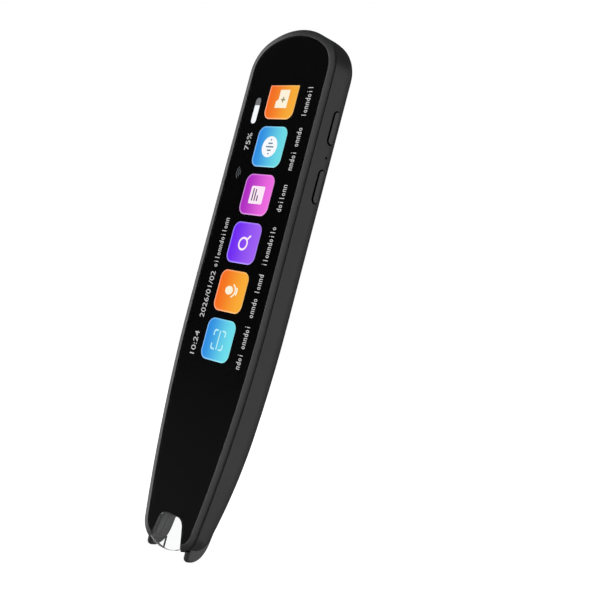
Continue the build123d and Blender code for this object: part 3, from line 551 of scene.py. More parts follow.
# %% Painted light on the lip and the back
# Where each tone is full and where it has gone (front is minus), the two heights between which it grows from
# nothing, and the tone itself.
# Painted highlight: the lip beside the glass is painted lighter, where a rounded edge would catch the lamps.
LIP_PAINTED_HIGHLIGHT = (-5.45 * MM, -5.05 * MM, 1 * MM, 10 * MM, (0.068, 0.068, 0.069))
# Painted light: the back is painted paler than the sides, as light from behind would make it.
BACK_PAINTED_LIGHT = (5.35 * MM, 4.95 * MM, -2 * MM, -1 * MM, (0.043, 0.043, 0.043))


def painted_light_tone(tree, full, gone, low, high, tone):
    """A mask of painted light for one depth of the pen, which also fades towards the tip, and its painted tone."""
    _, y, z = parts_of(tree, own_place(tree))
    return product(tree, carry(tree, y, full, gone, 1.0, 0.0), carry(tree, z, low, high)), tone


print("rubbed faces: lip and back")

# %% [markdown]
# ## Black mouldings
# The frame, the shell, the keys, the feet and the speaker insert are all black plastic, but not the same: the
# shell has a fine matt grain, the frame is a satin, and the feet are a harder, smoother plastic that slides on
# paper. One maker builds them all, from a base colour, a lighter one for edges that wear (and on the frame a
# painted highlight), how rough it is, and the masks above, which paint light at the tip, on the lip and the back,
# and shadow in the gaps.

# %% Make the plastics
materials = {}
GRAIN, GRAIN_DEPTH = 0.22 * MM, 0.004 * MM
GLOSS_DRIFT = 0.10
WEAR_WIDTH = 0.25 * MM
PLAIN_GLOSS = 0.5
PLASTIC_IOR = 1.5
# Painted light: the notch walls and the recess on the back are painted paler, as their faces catch the lamps.
NOTCH_PAINTED_LIGHT = (0.14, 0.14, 0.142)
RECESS_PAINTED_LIGHT = (0.042, 0.042, 0.042)
# Painted shadow: the black laid on both sides of each narrow gap.
GAP_PAINTED_SHADOW = (0.0008, 0.0008, 0.0008)


def new_material(name):
    """The tree and the Principled shader of a new material, which is kept under its name."""
    materials[name] = bpy.data.materials.new(name)
    tree = empty_tree(materials[name])
    shader = add(tree, "ShaderNodeBsdfPrincipled")
    add(tree, "ShaderNodeOutputMaterial", {"Surface": shader.outputs[0]})
    return tree, shader


def use_group(tree, group, inputs):
    """What a group gives when it is placed in a material with its own values."""
    return add(tree, "ShaderNodeGroup", inputs, node_tree=group).outputs


def black_plastic(name, colour, wear_and_highlight, roughness, notch=None, painted_light=(), edge=0.12 * MM, wear=0.35):
    """Moulded plastic: grained, uneven in gloss, lighter along edges from wear and painted highlight, with painted
    light at the tip, on the lip and the back, and painted shadow in narrow gaps.
    """
    tree, shader = new_material(name)
    grained = use_group(tree, grain_group, {
        "Grain": GRAIN, "Depth": GRAIN_DEPTH, "Edge": edge, "Roughness": roughness, "Drift": GLOSS_DRIFT})
    wear_and_highlight_edge = use_group(tree, wear_group, {"Width": WEAR_WIDTH, "Amount": wear})["Mask"]
    gap = 0.0
    for settings in GAPS:
        gap = math_node(tree, "ADD", use_group(tree, gap_group, settings)["Mask"], gap, clamp=True)
    tone = blend(tree, wear_and_highlight_edge, colour, wear_and_highlight)
    # Over the tone go, each by its mask: painted light on the lip and the back, in the recess and the notch, and
    # painted shadow in the gaps.
    for mask, local in (
            *(painted_light_tone(tree, *settings) for settings in painted_light),
            (use_group(tree, tip_group, RECESS)["Mask"], RECESS_PAINTED_LIGHT if notch else colour),
            (use_group(tree, tip_group, NOTCH)["Mask"], notch or colour),
            (gap, GAP_PAINTED_SHADOW)):
        tone = blend(tree, mask, tone, local)
    # In the gaps the gloss is taken away too, which is part of the painted shadow.
    fill(tree, shader, {
        "Base Color": tone, "Roughness": grained["Roughness"], "Normal": grained["Normal"],
        "Specular IOR Level": carry(tree, gap, at_low=PLAIN_GLOSS, at_high=0.0), "IOR": PLASTIC_IOR})


# On the frame the edge tone and its amount are raised, so the wear mask also paints a highlight along the edges.
black_plastic("frame_black", (0.012, 0.012, 0.0125), (0.05, 0.05, 0.051), 0.36, NOTCH_PAINTED_LIGHT,
              (LIP_PAINTED_HIGHLIGHT,), edge=0.45 * MM, wear=0.7)
black_plastic("shell_black", (0.0115, 0.0115, 0.0115), (0.028, 0.028, 0.029), 0.40, NOTCH_PAINTED_LIGHT, (BACK_PAINTED_LIGHT,))
black_plastic("grille_black", (0.0115, 0.0115, 0.0115), (0.028, 0.028, 0.029), 0.42, None, (BACK_PAINTED_LIGHT,))
black_plastic("key_black", (0.026, 0.026, 0.0265), (0.04, 0.04, 0.041), 0.34)
black_plastic("foot_black", (0.050, 0.050, 0.051), (0.075, 0.075, 0.076), 0.34)
black_plastic("inner_plastic", (0.02, 0.02, 0.021), (0.03, 0.03, 0.03), 0.5)
# The notch liner takes the notch walls' painted light.
black_plastic("notch_liner", NOTCH_PAINTED_LIGHT, NOTCH_PAINTED_LIGHT, 0.40)
# Partly the ground edge's grey, partly painted light: the line that the pane's edge shows where it bends the light.
black_plastic("ground_edge", (0.5, 0.5, 0.5), (0.55, 0.55, 0.55), 0.55)
print("plastics:", list(materials))

# %% [markdown]
# ## Glass and clear plastic
# The cover glass is polished, the window at the tip is a clear moulding, and the lens is optical glass. All three
# only let light through, so each is plain transmission with a tint. The window's index is set low, which keeps
# the white behind it clean, as it is on a thin plate.

# %% Make the clear materials
CLEAR = (
    # name, tint, index of refraction, how much fingers have smeared it
    ("cover_glass", (0.98, 0.98, 0.98), 1.42, 0.05),
    ("clear_pane", (0.97, 0.975, 0.975), 1.1, 0.04),
    ("lens_glass", (0.96, 0.98, 1.0), 1.5, 0.0),
)


def clear_material(name, tint, ior, smear):
    """Glass or clear plastic: plain transmission, with smears only in its roughness."""
    tree, shader = new_material(name)
    smudged = use_group(tree, smudge_group, {"Roughness": 0.0, "Smear": smear})
    fill(tree, shader, {
        "Base Color": (*tint, 1.0), "Transmission Weight": 1.0, "IOR": ior, "Roughness": smudged["Roughness"]})


for settings in CLEAR:
    clear_material(*settings)
print("clear materials:", [settings[0] for settings in CLEAR])

# %% [markdown]
# ## What is inside
# Most of these pieces are hidden once the pen is shut, but the speaker's dust cloth shows through its holes, the
# port is open at the top, and the scanning lamps look out over the notch. Each still gets its real finish.
# Screws, the shield, the spring and the cell's foil are bare metal. Drawing or rolling leaves fine lines that run
# one way, which is noise stretched that way: it shades the colour, the roughness and the bump together.

# %% Metals
METAL_SHADE = 0.8
METAL_DRIFT = 0.12
METAL_DEPTH = 0.002 * MM


def two_tone(tree, shader, mask, first, second, height, depth, roughness):
    """Fills in a shader: two tones mixed by a mask, a bump from a height, and a roughness."""
    bump = add(tree, "ShaderNodeBump", {"Height": height, "Distance": depth})
    fill(tree, shader, {
        "Base Color": blend(tree, mask, first, second), "Normal": bump.outputs[0], "Roughness": roughness})


def metal(name, grey, roughness, stretch):
    """Bare metal with a drawn or rolled grain that runs along one axis."""
    tree, shader = new_material(name)
    drawn = add(tree, "ShaderNodeMapping", {"Vector": own_place(tree), "Scale": stretch}).outputs[0]
    lines = noise(tree, drawn, 1.0, 4.0)
    rough = carry(tree, lines, at_low=roughness - METAL_DRIFT / 2, at_high=roughness + METAL_DRIFT / 2)
    two_tone(tree, shader, lines, [METAL_SHADE * level for level in grey], grey, lines, METAL_DEPTH, rough)
    shader.inputs["Metallic"].default_value = 1.0


metal("tinned_steel", (0.62, 0.62, 0.60), 0.32, (600.0, 600.0, 6000.0))
metal("screw_steel", (0.50, 0.50, 0.50), 0.35, (4000.0, 400.0, 4000.0))
metal("spring_steel", (0.60, 0.60, 0.60), 0.28, (3000.0, 3000.0, 500.0))
metal("magnet_steel", (0.60, 0.60, 0.60), 0.20, (1500.0, 1500.0, 1500.0))
metal("cell_foil", (0.70, 0.71, 0.72), 0.42, (5000.0, 5000.0, 300.0))
print("metals:", [name for name in materials if "steel" in name or "foil" in name])

# %% [markdown]
# Adhesive, chips, the cone, the lamps, the white stems, the inks and the dark screen are matt, and close up each
# is two near tones of fine speckle. One maker serves them all, from the tones and the speckle's size.

# %% Speckled inner finishes
SPECKLE_EDGE = (0.4, 0.6)
SPECKLE_DEPTH = 0.003 * MM
# What is bonded to the back of glass has no surface of its own to shine.
BONDED_GLOSS = 0.0


def speckled(name, colour, fleck, scale, roughness, gloss=PLAIN_GLOSS):
    """A matt finish of two close tones, mixed by fine noise, with the same noise as its bump."""
    tree, shader = new_material(name)
    grain = noise(tree, own_place(tree), scale, 3.0)
    two_tone(tree, shader, carry(tree, grain, *SPECKLE_EDGE), colour, fleck, grain, SPECKLE_DEPTH, roughness)
    shader.inputs["Specular IOR Level"].default_value = gloss


speckled("adhesive", (0.012, 0.012, 0.012), (0.03, 0.03, 0.03), 5000.0, 0.85)
speckled("chip_black", (0.02, 0.02, 0.022), (0.035, 0.035, 0.037), 9000.0, 0.6)
speckled("cone_film", (0.03, 0.03, 0.035), (0.05, 0.05, 0.06), 1200.0, 0.3)
speckled("led_white", (0.85, 0.83, 0.66), (0.9, 0.88, 0.7), 2500.0, 0.35)
speckled("stem_white", (0.75, 0.75, 0.73), (0.8, 0.8, 0.78), 2000.0, 0.4)
speckled("guide_ink", (0.025, 0.025, 0.026), (0.04, 0.04, 0.04), 6000.0, 0.5)
speckled("screen", (0.002, 0.002, 0.003), (0.003, 0.003, 0.004), 3000.0, 0.25)
speckled("black_print", (0.0012, 0.0012, 0.0014), (0.002, 0.002, 0.0022), 4000.0, 0.9, BONDED_GLOSS)
print("materials so far:", len(materials))

# %% [markdown]
# Copper runs in straight lines under the flex's film and the boards' green lacquer, and the dust cloth over the
# speaker is a plain weave. Wave textures give both: one set of bands is a row of lines, and two sets at right
# angles are threads. The weave lies in the cloth's own plane, which faces the back.

# %% Striped and woven inner finishes
LINE_SOFTNESS = 0.1
LINE_DEPTH = 0.01 * MM
THREAD_DEPTH = 0.05 * MM


def striped(name, ground, line, pitch, share, roughness):
    """Straight conductors on a ground, seen through a clear coat."""
    tree, shader = new_material(name)
    mask = carry(tree, stripes(tree, own_place(tree), pitch, "X"), share, share + LINE_SOFTNESS)
    two_tone(tree, shader, mask, ground, line, mask, LINE_DEPTH, roughness)


def woven(name, thread, gap, pitch, roughness):
    """A plain weave: two sets of threads that cross at right angles."""
    tree, shader = new_material(name)
    place = own_place(tree)
    height = math_node(tree, "MAXIMUM", stripes(tree, place, pitch, "X"), stripes(tree, place, pitch, "Z"))
    two_tone(tree, shader, height, gap, thread, height, THREAD_DEPTH, roughness)


striped("flex", (0.45, 0.20, 0.04), (0.60, 0.33, 0.10), 0.5 * MM, 0.45, 0.3)
striped("board_green", (0.015, 0.11, 0.05), (0.03, 0.17, 0.08), 1.3 * MM, 0.6, 0.35)
woven("mesh_cloth", (0.02, 0.02, 0.02), (0.002, 0.002, 0.002), 0.12 * MM, 0.8)
print("materials:", sorted(materials))

# %% [markdown]
# ## Put the finishes on
# The record says which slot each piece takes its finish from, so one loop dresses every piece of the frame.

# %% Dress the frame's pieces
for piece in nodes.values():
    for holder in piece.material_slots:
        holder.material = materials[holder.material.name.split(".")[0]]
print("dressed:", len(nodes), "pieces")

# %% [markdown]
# ## The picture behind the glass
# The glass is real: clear, with a black print on its back, so whatever is drawn lies inside it, a hair in front
# of the print. Each drawing is a thin closed plate rather than a picture on one surface, because a plate stays
# sharp however near the camera comes. The picture lies on its side: its lines of text run up the pen, and the
# top of each letter points to the pen's left edge.

# %% Where the drawings lie
PLATE = 0.004 * MM
PRINT_FRONT = GLASS_BACK - 0.03 * MM
LAYER = 0.008 * MM


def layer_front(number):
    """The depth of the front of a layer of the picture, counted up from the print."""
    return PRINT_FRONT - number * LAYER


def mesh_of(source):
    """The finished mesh of an object with its modifiers or its curve worked out, and the object removed."""
    graph = bpy.context.evaluated_depsgraph_get()
    mesh = bpy.data.meshes.new_from_object(source.evaluated_get(graph), depsgraph=graph)
    bpy.data.objects.remove(source)
    return mesh


def new_piece(name, mesh, material=None, body="pen"):
    """A named piece at the origin that rides on a body, with its material if one is given."""
    mesh.name = name
    piece = new_object(name, mesh)
    if material:
        piece.data.materials.clear()
        piece.data.materials.append(material)
    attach(piece, body)
    return piece


print("print on the glass, mm:", round(layer_front(0) / MM, 3), "front of layer 1:", round(layer_front(1) / MM, 3))

# %% [markdown]
# The print is ink over the whole back of the glass. It starts as a copy of the glass's own mesh, which is drawn
# in a hair at the outline and pressed flat, so that none of its faces lies in a face of the glass.

# %% Print the back of the glass
PRINT_INSET = 0.06 * MM
PRINT_WELD = 0.001 * MM
OUTLINE_NORMAL = 0.1


def make_black_print():
    """The black print: the glass's own outline, a hair smaller, as thin as ink."""
    mesh = nodes["cover_glass"].data.copy()
    work = bmesh.new()
    work.from_mesh(mesh)
    bmesh.ops.remove_doubles(work, verts=work.verts, dist=PRINT_WELD)
    middle = (GLASS_FRONT + GLASS_BACK) / 2
    for vertex in work.verts:
        inwards = Vector((vertex.normal.x, 0, vertex.normal.z))
        if inwards.length > OUTLINE_NORMAL:
            vertex.co -= inwards.normalized() * PRINT_INSET
        vertex.co.y = layer_front(0) if vertex.co.y < middle else layer_front(0) + PLATE
    work.to_mesh(mesh)
    work.free()
    return new_piece("black_print", mesh, materials["black_print"])


black_print = make_black_print()
print(black_print.name, "faces:", len(black_print.data.polygons))

# %% [markdown]
# ## Colours that give light
# A display's colours are light, so each is an emission. A designer would give them as numbers from 0 to 255, and
# a small function turns those into the linear light that the renderer works in. Every one of them goes through
# the faint grid of the display's pixels, which is a shader group of its own.

# %% Lit colours
PIXEL_PITCH = 0.075 * MM
PIXEL_DEPTH = 0.08
SCREEN_LIGHT = 1.05
SCREEN_ROUGHNESS = 0.5
BLACK = (0.0, 0.0, 0.0, 1.0)
LIT_COLOURS = {
    "lit_white": (250, 252, 255), "lit_cream": (255, 245, 220), "lit_text": (205, 205, 205),
    "lit_dim": (88, 90, 92), "lit_charge": (120, 122, 124), "lit_slate": (95, 130, 150),
    "lit_olive": (150, 140, 105), "lit_pale_blue": (190, 245, 252), "lit_plum": (92, 66, 104),
    "lit_pink": (255, 235, 250),
}


def lit(red, green, blue):
    """A screen colour from 0 to 255 as linear light."""
    def linear(level):
        """One of the three as linear light."""
        level /= 255
        return level / 12.92 if level <= 0.04045 else ((level + 0.055) / 1.055) ** 2.4
    return (linear(red), linear(green), linear(blue), 1.0)


def make_pixel_group():
    """The faint grid of a display's pixels: a little less light between one and the next."""
    group, given, out = new_group("pixel_grid", {"Colour": "colour", "Depth": "value"}, {"Colour": "colour"})
    rows, columns = (stripes(group, own_place(group), PIXEL_PITCH, way) for way in "ZX")
    dim = math_node(group, "SUBTRACT", 1.0, product(group, rows, columns, given["Depth"]))
    fill(group, out, {"Colour": scaled(group, given["Colour"], dim)})
    return group


pixel_group = make_pixel_group()


def light_up(tree, shader, colour):
    """Fills in a shader as a lit area of the display: black under light, and with a colour as its emission."""
    pixels = use_group(tree, pixel_group, {"Colour": colour, "Depth": PIXEL_DEPTH})
    fill(tree, shader, {
        "Base Color": BLACK, "Roughness": SCREEN_ROUGHNESS, "Specular IOR Level": BONDED_GLOSS,
        "Emission Color": pixels["Colour"], "Emission Strength": SCREEN_LIGHT})


for name, levels in LIT_COLOURS.items():
    light_up(*new_material(name), lit(*levels))
print("lit colours:", len(LIT_COLOURS), "group:", pixel_group.name)

# %% [markdown]
# ## Growing shapes with Geometry Nodes
# Several shapes below are a repeat or a sweep. Each is a small tree with named inputs. One helper opens a tree
# with its inputs, one closes it with its material, and one runs it and keeps the finished mesh.

# %% Helpers for geometry trees
GEOMETRY_SOCKETS = {float: "NodeSocketFloat", int: "NodeSocketInt", Vector: "NodeSocketVector"}
WELD = 0.0001 * MM


def new_geometry_tree(name, inputs):
    """A Geometry Nodes tree with an input named after each value, what the inputs give, and the output node."""
    tree = bpy.data.node_groups.new(name, "GeometryNodeTree")
    tree.interface.new_socket("Geometry", in_out="INPUT", socket_type="NodeSocketGeometry")
    for label, value in inputs.items():
        tree.interface.new_socket(label, in_out="INPUT", socket_type=GEOMETRY_SOCKETS[type(value)])
    tree.interface.new_socket("Geometry", in_out="OUTPUT", socket_type="NodeSocketGeometry")
    return tree, add(tree, "NodeGroupInput").outputs, add(tree, "NodeGroupOutput")


def close_tree(tree, out, geometry, material):
    """Gives what a tree has grown its material, and makes it the tree's result."""
    fill(tree, out, {0: add(tree, "GeometryNodeSetMaterial", {0: geometry, "Material": material}).outputs[0]})
    return tree


def grow(name, tree, inputs, points=()):
    """The mesh that a tree makes from its inputs, and from points if it starts from some."""
    mesh = bpy.data.meshes.new(name)
    mesh.from_pydata(list(points), [], [])
    source = new_object(name, mesh)
    modifier = source.modifiers.new("grow", "NODES")
    modifier.node_group = tree
    for item in tree.interface.items_tree:
        if item.in_out == "INPUT" and item.name in inputs:
            modifier[item.identifier] = inputs[item.name]
    grown = mesh_of(source)
    if grown.materials and grown.materials[0] is None:
        grown.materials.pop(index=0)
        grown.polygons.foreach_set("material_index", [0] * len(grown.polygons))
    return grown


def weld(mesh):
    """Closes a mesh along its doubled points, and turns its faces outwards."""
    work = bmesh.new()
    work.from_mesh(mesh)
    bmesh.ops.remove_doubles(work, verts=work.verts, dist=WELD)
    bmesh.ops.recalc_face_normals(work, faces=work.faces)
    work.to_mesh(mesh)
    work.free()


print("sockets for:", [kind.__name__ for kind in GEOMETRY_SOCKETS])

# %% [markdown]
# Inside the trees the same shapes come back: a box, rounded corners, points in a line, and above all a flat
# outline that becomes a closed plate. The plate is the filled outline, stood upright and pushed to the front,
# joined to the same face turned to the back.

# %% Shapes inside the trees
UPRIGHT = (math.pi / 2, 0, 0)
CORNER_STEPS = 10


def rectangle(tree, width, height):
    """A box outline."""
    return add(tree, "GeometryNodeCurvePrimitiveQuadrilateral", {"Width": width, "Height": height}).outputs[0]


def round_corners(tree, curve, radius):
    """A curve with its corners rounded."""
    inputs = {"Curve": curve, "Radius": radius, "Count": CORNER_STEPS}
    return add(tree, "GeometryNodeFilletCurve", inputs, mode="POLY").outputs[0]


def moved(tree, geometry, **inputs):
    """A geometry moved, turned or stretched."""
    return add(tree, "GeometryNodeTransform", {0: geometry, **inputs}).outputs[0]


def joined(tree, geometries):
    """Several geometries as one."""
    join = add(tree, "GeometryNodeJoinGeometry")
    for geometry in geometries:
        fill(tree, join, {0: geometry})
    return join.outputs[0]


def point_line(tree, given):
    """Points at an even pitch, straight up from a start."""
    inputs = {
        "Count": given["Count"], "Start Location": given["Start"], "Offset": vector_of(tree, {"Z": given["Pitch"]})}
    return add(tree, "GeometryNodeMeshLine", inputs).outputs[0]


def thick_plate(tree, curve, thickness):
    """A flat outline filled and closed to a plate that faces the front of the pen."""
    flat = add(tree, "GeometryNodeFillCurve", {"Curve": curve}, mode="NGONS").outputs[0]
    upright = moved(tree, flat, Rotation=UPRIGHT)
    back = add(tree, "GeometryNodeFlipFaces", {0: upright}).outputs[0]
    forwards = vector_of(tree, {"Y": product(tree, thickness, -1.0)})
    inputs = {0: upright, "Offset": forwards, "Individual": False}
    front = add(tree, "GeometryNodeExtrudeMesh", inputs, mode="FACES").outputs[0]
    both = joined(tree, [front, back])
    return add(tree, "GeometryNodeMergeByDistance", {0: both, "Distance": WELD}).outputs[0]


print("corners are rounded in", CORNER_STEPS, "steps")

# %% [markdown]
# ## Strips round the clear pane
# Two thin strips finish the clear pane. A liner follows the notch round it, and hides the cut edge of the
# glass and the slot for the pane's lip; it is painted the same paler grey as the notch walls, which is painted
# light. A pale strip stands for the ground lower edge of the pane, and its grey also paints the thin line that the
# edge shows where it bends the light. Both are a profile swept along a path, so one kind of tree draws them from
# the corners of the path.

# %% Grow the strips
STRIP_GAP = 0.02 * MM
LINER_THICK = 0.02 * MM
LINER_LOW = 3.0 * MM
LINER_DEPTHS = (GLASS_FRONT + 0.01 * MM, GLASS_FRONT + 1.73 * MM)
NOTCH_ROUND = 3.0 * MM
PANE_LOW, PANE_ARC, PANE_HALF = 1.25 * MM, 14.7 * MM, 6.6 * MM
GROUND_THICK = 0.1 * MM
GROUND_INSET = 0.1 * MM
GROUND_DEPTHS = (GLASS_FRONT + 0.04 * MM, GLASS_FRONT + 0.3 * MM)
GROUND_STEPS = 12


def make_strip_tree(inputs, material):
    """A strip swept along a path with rounded corners, and stood upright."""
    tree, given, out = new_geometry_tree("strip", inputs)
    dots = add(tree, "GeometryNodeMeshToPoints", {0: given["Geometry"]}).outputs[0]
    path = add(tree, "GeometryNodePointsToCurves", {0: dots}).outputs[0]
    rounded = round_corners(tree, path, given["Corner"])
    profile = rectangle(tree, given["Thickness"], given["Depth"])
    swept = add(tree, "GeometryNodeCurveToMesh", {0: rounded, 1: profile, "Fill Caps": True}).outputs[0]
    return close_tree(tree, out, moved(tree, swept, Translation=given["Place"], Rotation=UPRIGHT), material)


def make_strip(name, path, corner, thickness, depths, material):
    """A strip along a path, between two depths."""
    front, back = depths
    inputs = {
        "Corner": corner, "Thickness": thickness, "Depth": back - front, "Place": Vector((0, (front + back) / 2, 0))}
    mesh = grow(name, make_strip_tree(inputs, material), inputs, path)
    weld(mesh)
    return new_piece(name, mesh)


def in_notch(side, height):
    """A point a little inside the notch's left wall (-1) or its right one (1)."""
    half = NOTCH_HALF_LOW - NOTCH_SLOPE * height - STRIP_GAP * math.hypot(1, NOTCH_SLOPE)
    return (side * half, height, 0)


def low_edge(x):
    """A point a little above the lower edge of the pane."""
    return (x, PANE_LOW + PANE_ARC - math.sqrt((PANE_ARC - GROUND_INSET) ** 2 - x ** 2), 0)


liner_top = NOTCH_TOP - STRIP_GAP
liner_path = [in_notch(-1, LINER_LOW), in_notch(-1, liner_top), in_notch(1, liner_top), in_notch(1, LINER_LOW)]
ground_path = [low_edge(PANE_HALF * (step / GROUND_STEPS - 1)) for step in range(2 * GROUND_STEPS + 1)]
for strip in (
        make_strip("notch_liner", liner_path, NOTCH_ROUND, LINER_THICK, LINER_DEPTHS, materials["notch_liner"]),
        make_strip("pane_ground_edge", ground_path, 0.0, GROUND_THICK, GROUND_DEPTHS, materials["ground_edge"])):
    print("strip:", strip.name, "faces:", len(strip.data.polygons))

# %% [markdown]
# ## Six tiles in a row
# The tiles are the same rounded square at an even pitch, which is what Geometry Nodes are for: one outline is
# filled and given its thickness, an instance of it goes on each point of a line, and the last one is cut level
# where the display ends. Each tile keeps its own number and each point its place on the tile, and the material
# reads both to choose and to shade its colour.

# %% The tiles' sizes
TILE_WIDTH = 12.05 * MM
TILE_HEIGHT = 11.95 * MM
TILE_CORNER = 2.5 * MM
TILE_PITCH = 14.14 * MM
TILE_COUNT = 6
TILE_MIDDLE_X = -0.42 * MM
FIRST_TILE_Z = 60.7 * MM
tile_middles = [FIRST_TILE_Z + TILE_PITCH * number for number in range(TILE_COUNT)]
print("tile middles, mm:", [round(z / MM, 1) for z in tile_middles])

# %% [markdown]
# A tile is lighter along its edge, most of all at its lower left, and a little darker along its right side. Its
# two tones and these two effects are mixed from its number and from the place on it, so one material serves all.

# %% Shade the tiles
# From the lowest tile to the top: the colour at its left side, and at its right side.
TILE_TONES = (
    ((47, 142, 228), (112, 226, 238)),
    ((248, 112, 33), (252, 176, 56)),
    ((112, 42, 245), (160, 98, 246)),
    ((176, 45, 196), (242, 110, 228)),
    ((47, 142, 228), (112, 222, 232)),
    ((246, 110, 35), (250, 176, 58)),
)
TILE_RIM = 0.5 * MM
# The rim's light: its tint, its strength, the share of it at the upper right, and the two places, as the sum of
# across and along, between which it grows from that share to the whole.
RIM_TINT = (0.85, 1.0, 0.8)
RIM_LIGHT = 0.38
RIM_LEAST = 0.45
RIM_REACH = (7 * MM, -5 * MM)
RIM_SHADE = 0.7


def number_ramp(tree, number, colours):
    """A screen colour chosen by a whole number."""
    ramp = add(tree, "ShaderNodeValToRGB", {0: math_node(tree, "DIVIDE", number, len(colours))})
    ramp.color_ramp.interpolation = "CONSTANT"
    stops = ramp.color_ramp.elements
    for place, colour in enumerate(colours):
        stop = stops[place] if place < 2 else stops.new(1.0)
        stop.position = max(0.0, (place - 0.5) / len(colours))
        stop.color = lit(*colour)
    return ramp.outputs[0]


def near_edge(tree, across, along):
    """A mask that rises within a hair of a tile's rounded edge."""
    corner = vector_of(tree, {
        "X": beyond(tree, across, TILE_WIDTH / 2 - TILE_CORNER),
        "Y": beyond(tree, along, TILE_HEIGHT / 2 - TILE_CORNER)})
    return carry(tree, vector_math(tree, "LENGTH", corner), TILE_CORNER - TILE_RIM, TILE_CORNER)


def make_tile_material():
    """Two tones from left to right, chosen by the tile's number, with a light rim and a shaded right side."""
    tree, shader = new_material("lit_tiles")
    number = add(tree, "ShaderNodeAttribute", attribute_name="tile_number").outputs["Fac"]
    place = add(tree, "ShaderNodeAttribute", attribute_name="tile_place").outputs["Vector"]
    across, _, along = parts_of(tree, place)
    half = TILE_WIDTH / 2
    left, right = (number_ramp(tree, number, colours) for colours in zip(*TILE_TONES))
    tone = blend(tree, carry(tree, across, -half, half, interpolation_type="SMOOTHSTEP"), left, right)
    near = near_edge(tree, across, along)
    lit_side = carry(tree, math_node(tree, "ADD", across, along), *RIM_REACH, RIM_LEAST, 1.0)
    rim = blend(tree, product(tree, near, lit_side, RIM_LIGHT), tone, RIM_TINT, blend_type="ADD")
    shaded_side = carry(tree, across, half - TILE_CORNER, half)
    dark = carry(tree, product(tree, near, shaded_side), at_low=1.0, at_high=RIM_SHADE)
    light_up(tree, shader, scaled(tree, rim, dark))


make_tile_material()
print("tile tones:", len(TILE_TONES))

# %% Grow the tiles
def store(tree, geometry, name, value, data_type, domain):
    """A geometry that keeps a value under a name."""
    inputs = {0: geometry, "Name": name, "Value": value}
    return add(tree, "GeometryNodeStoreNamedAttribute", inputs, data_type=data_type, domain=domain).outputs[0]


def make_tile_tree(inputs):
    """A row of rounded squares that know their number and their points' places, cut level at the top."""
    tree, given, out = new_geometry_tree("tile_row", inputs)
    rounded = round_corners(tree, rectangle(tree, given["Width"], given["Height"]), given["Corner"])
    plate = thick_plate(tree, rounded, given["Thickness"])
    place = add(tree, "GeometryNodeInputPosition").outputs[0]
    kept = store(tree, plate, "tile_place", place, "FLOAT_VECTOR", "POINT")
    points = point_line(tree, given)
    row = add(tree, "GeometryNodeInstanceOnPoints", {"Points": points, "Instance": kept}).outputs[0]
    number = add(tree, "GeometryNodeInputIndex").outputs[0]
    row = store(tree, row, "tile_number", number, "FLOAT", "INSTANCE")
    real = add(tree, "GeometryNodeRealizeInstances", {0: row}).outputs[0]
    x, y, z = parts_of(tree, place)
    cut = vector_of(tree, {"X": x, "Y": y, "Z": math_node(tree, "MINIMUM", z, given["Cut"])})
    trimmed = add(tree, "GeometryNodeSetPosition", {0: real, "Position": cut}).outputs[0]
    return close_tree(tree, out, trimmed, materials["lit_tiles"])


tile_inputs = {
    "Width": TILE_WIDTH,
    "Height": TILE_HEIGHT,
    "Corner": TILE_CORNER,
    "Pitch": TILE_PITCH,
    "Count": TILE_COUNT,
    "Thickness": PLATE,
    "Start": Vector((TILE_MIDDLE_X, layer_front(1) + PLATE, FIRST_TILE_Z)),
    "Cut": lit_high.z,
}
tiles = new_piece("app_tiles", grow("app_tiles", make_tile_tree(tile_inputs), tile_inputs))
print(tiles.name, "faces:", len(tiles.data.polygons), "material:", tiles.data.materials[0].name)

# %% [markdown]
# ## Signs on the tiles
# Each tile has a plain pictogram, cut from flat outlines: a folder, a round of sound bars, a page of lines, a
# magnifier, a talking head and a frame to scan with. An outline is a list of corners or a circle, given in
# millimetres from the middle of its tile, and a filled 2D curve turns the outlines of one colour into a plate.
# An outline inside another becomes a hole in it.

# %% Outlines in the plane of the picture
def on_circle(x, z, radius, turn):
    """A point on a circle."""
    return (x + radius * math.cos(turn), z + radius * math.sin(turn))


def circle(x, z, radius, steps=40):
    """A round outline."""
    return [on_circle(x, z, radius, 2 * math.pi * step / steps) for step in range(steps)]


def rounded_box(x, z, width, height, corner, steps=6):
    """A box outline with round corners, by its middle and its size."""
    points = []
    for quarter, (side_x, side_z) in enumerate(((1, 1), (-1, 1), (-1, -1), (1, -1))):
        middle_x = x + side_x * (width / 2 - corner)
        middle_z = z + side_z * (height / 2 - corner)
        points += [on_circle(middle_x, middle_z, corner, math.pi / 2 * (quarter + step / steps))
                   for step in range(steps + 1)]
    return points


def arc_band(x, z, radius, width, start, end, steps=24):
    """A band along part of a circle, between two directions in degrees."""
    turns = [math.radians(start + (end - start) * step / steps) for step in range(steps + 1)]
    outer = [on_circle(x, z, radius + width / 2, turn) for turn in turns]
    inner = [on_circle(x, z, radius - width / 2, turn) for turn in turns]
    return outer + inner[::-1]


def turned(outline, x, z, degrees):
    """An outline turned about a point."""
    cos, sin = math.cos(math.radians(degrees)), math.sin(math.radians(degrees))
    return [(x + (a - x) * cos - (b - z) * sin, z + (a - x) * sin + (b - z) * cos) for a, b in outline]


def mesh_of_curve(name, curve):
    """The mesh of a flat curve or a text, and the curve removed."""
    mesh = mesh_of(new_object(name, curve))
    bpy.data.curves.remove(curve)
    return mesh


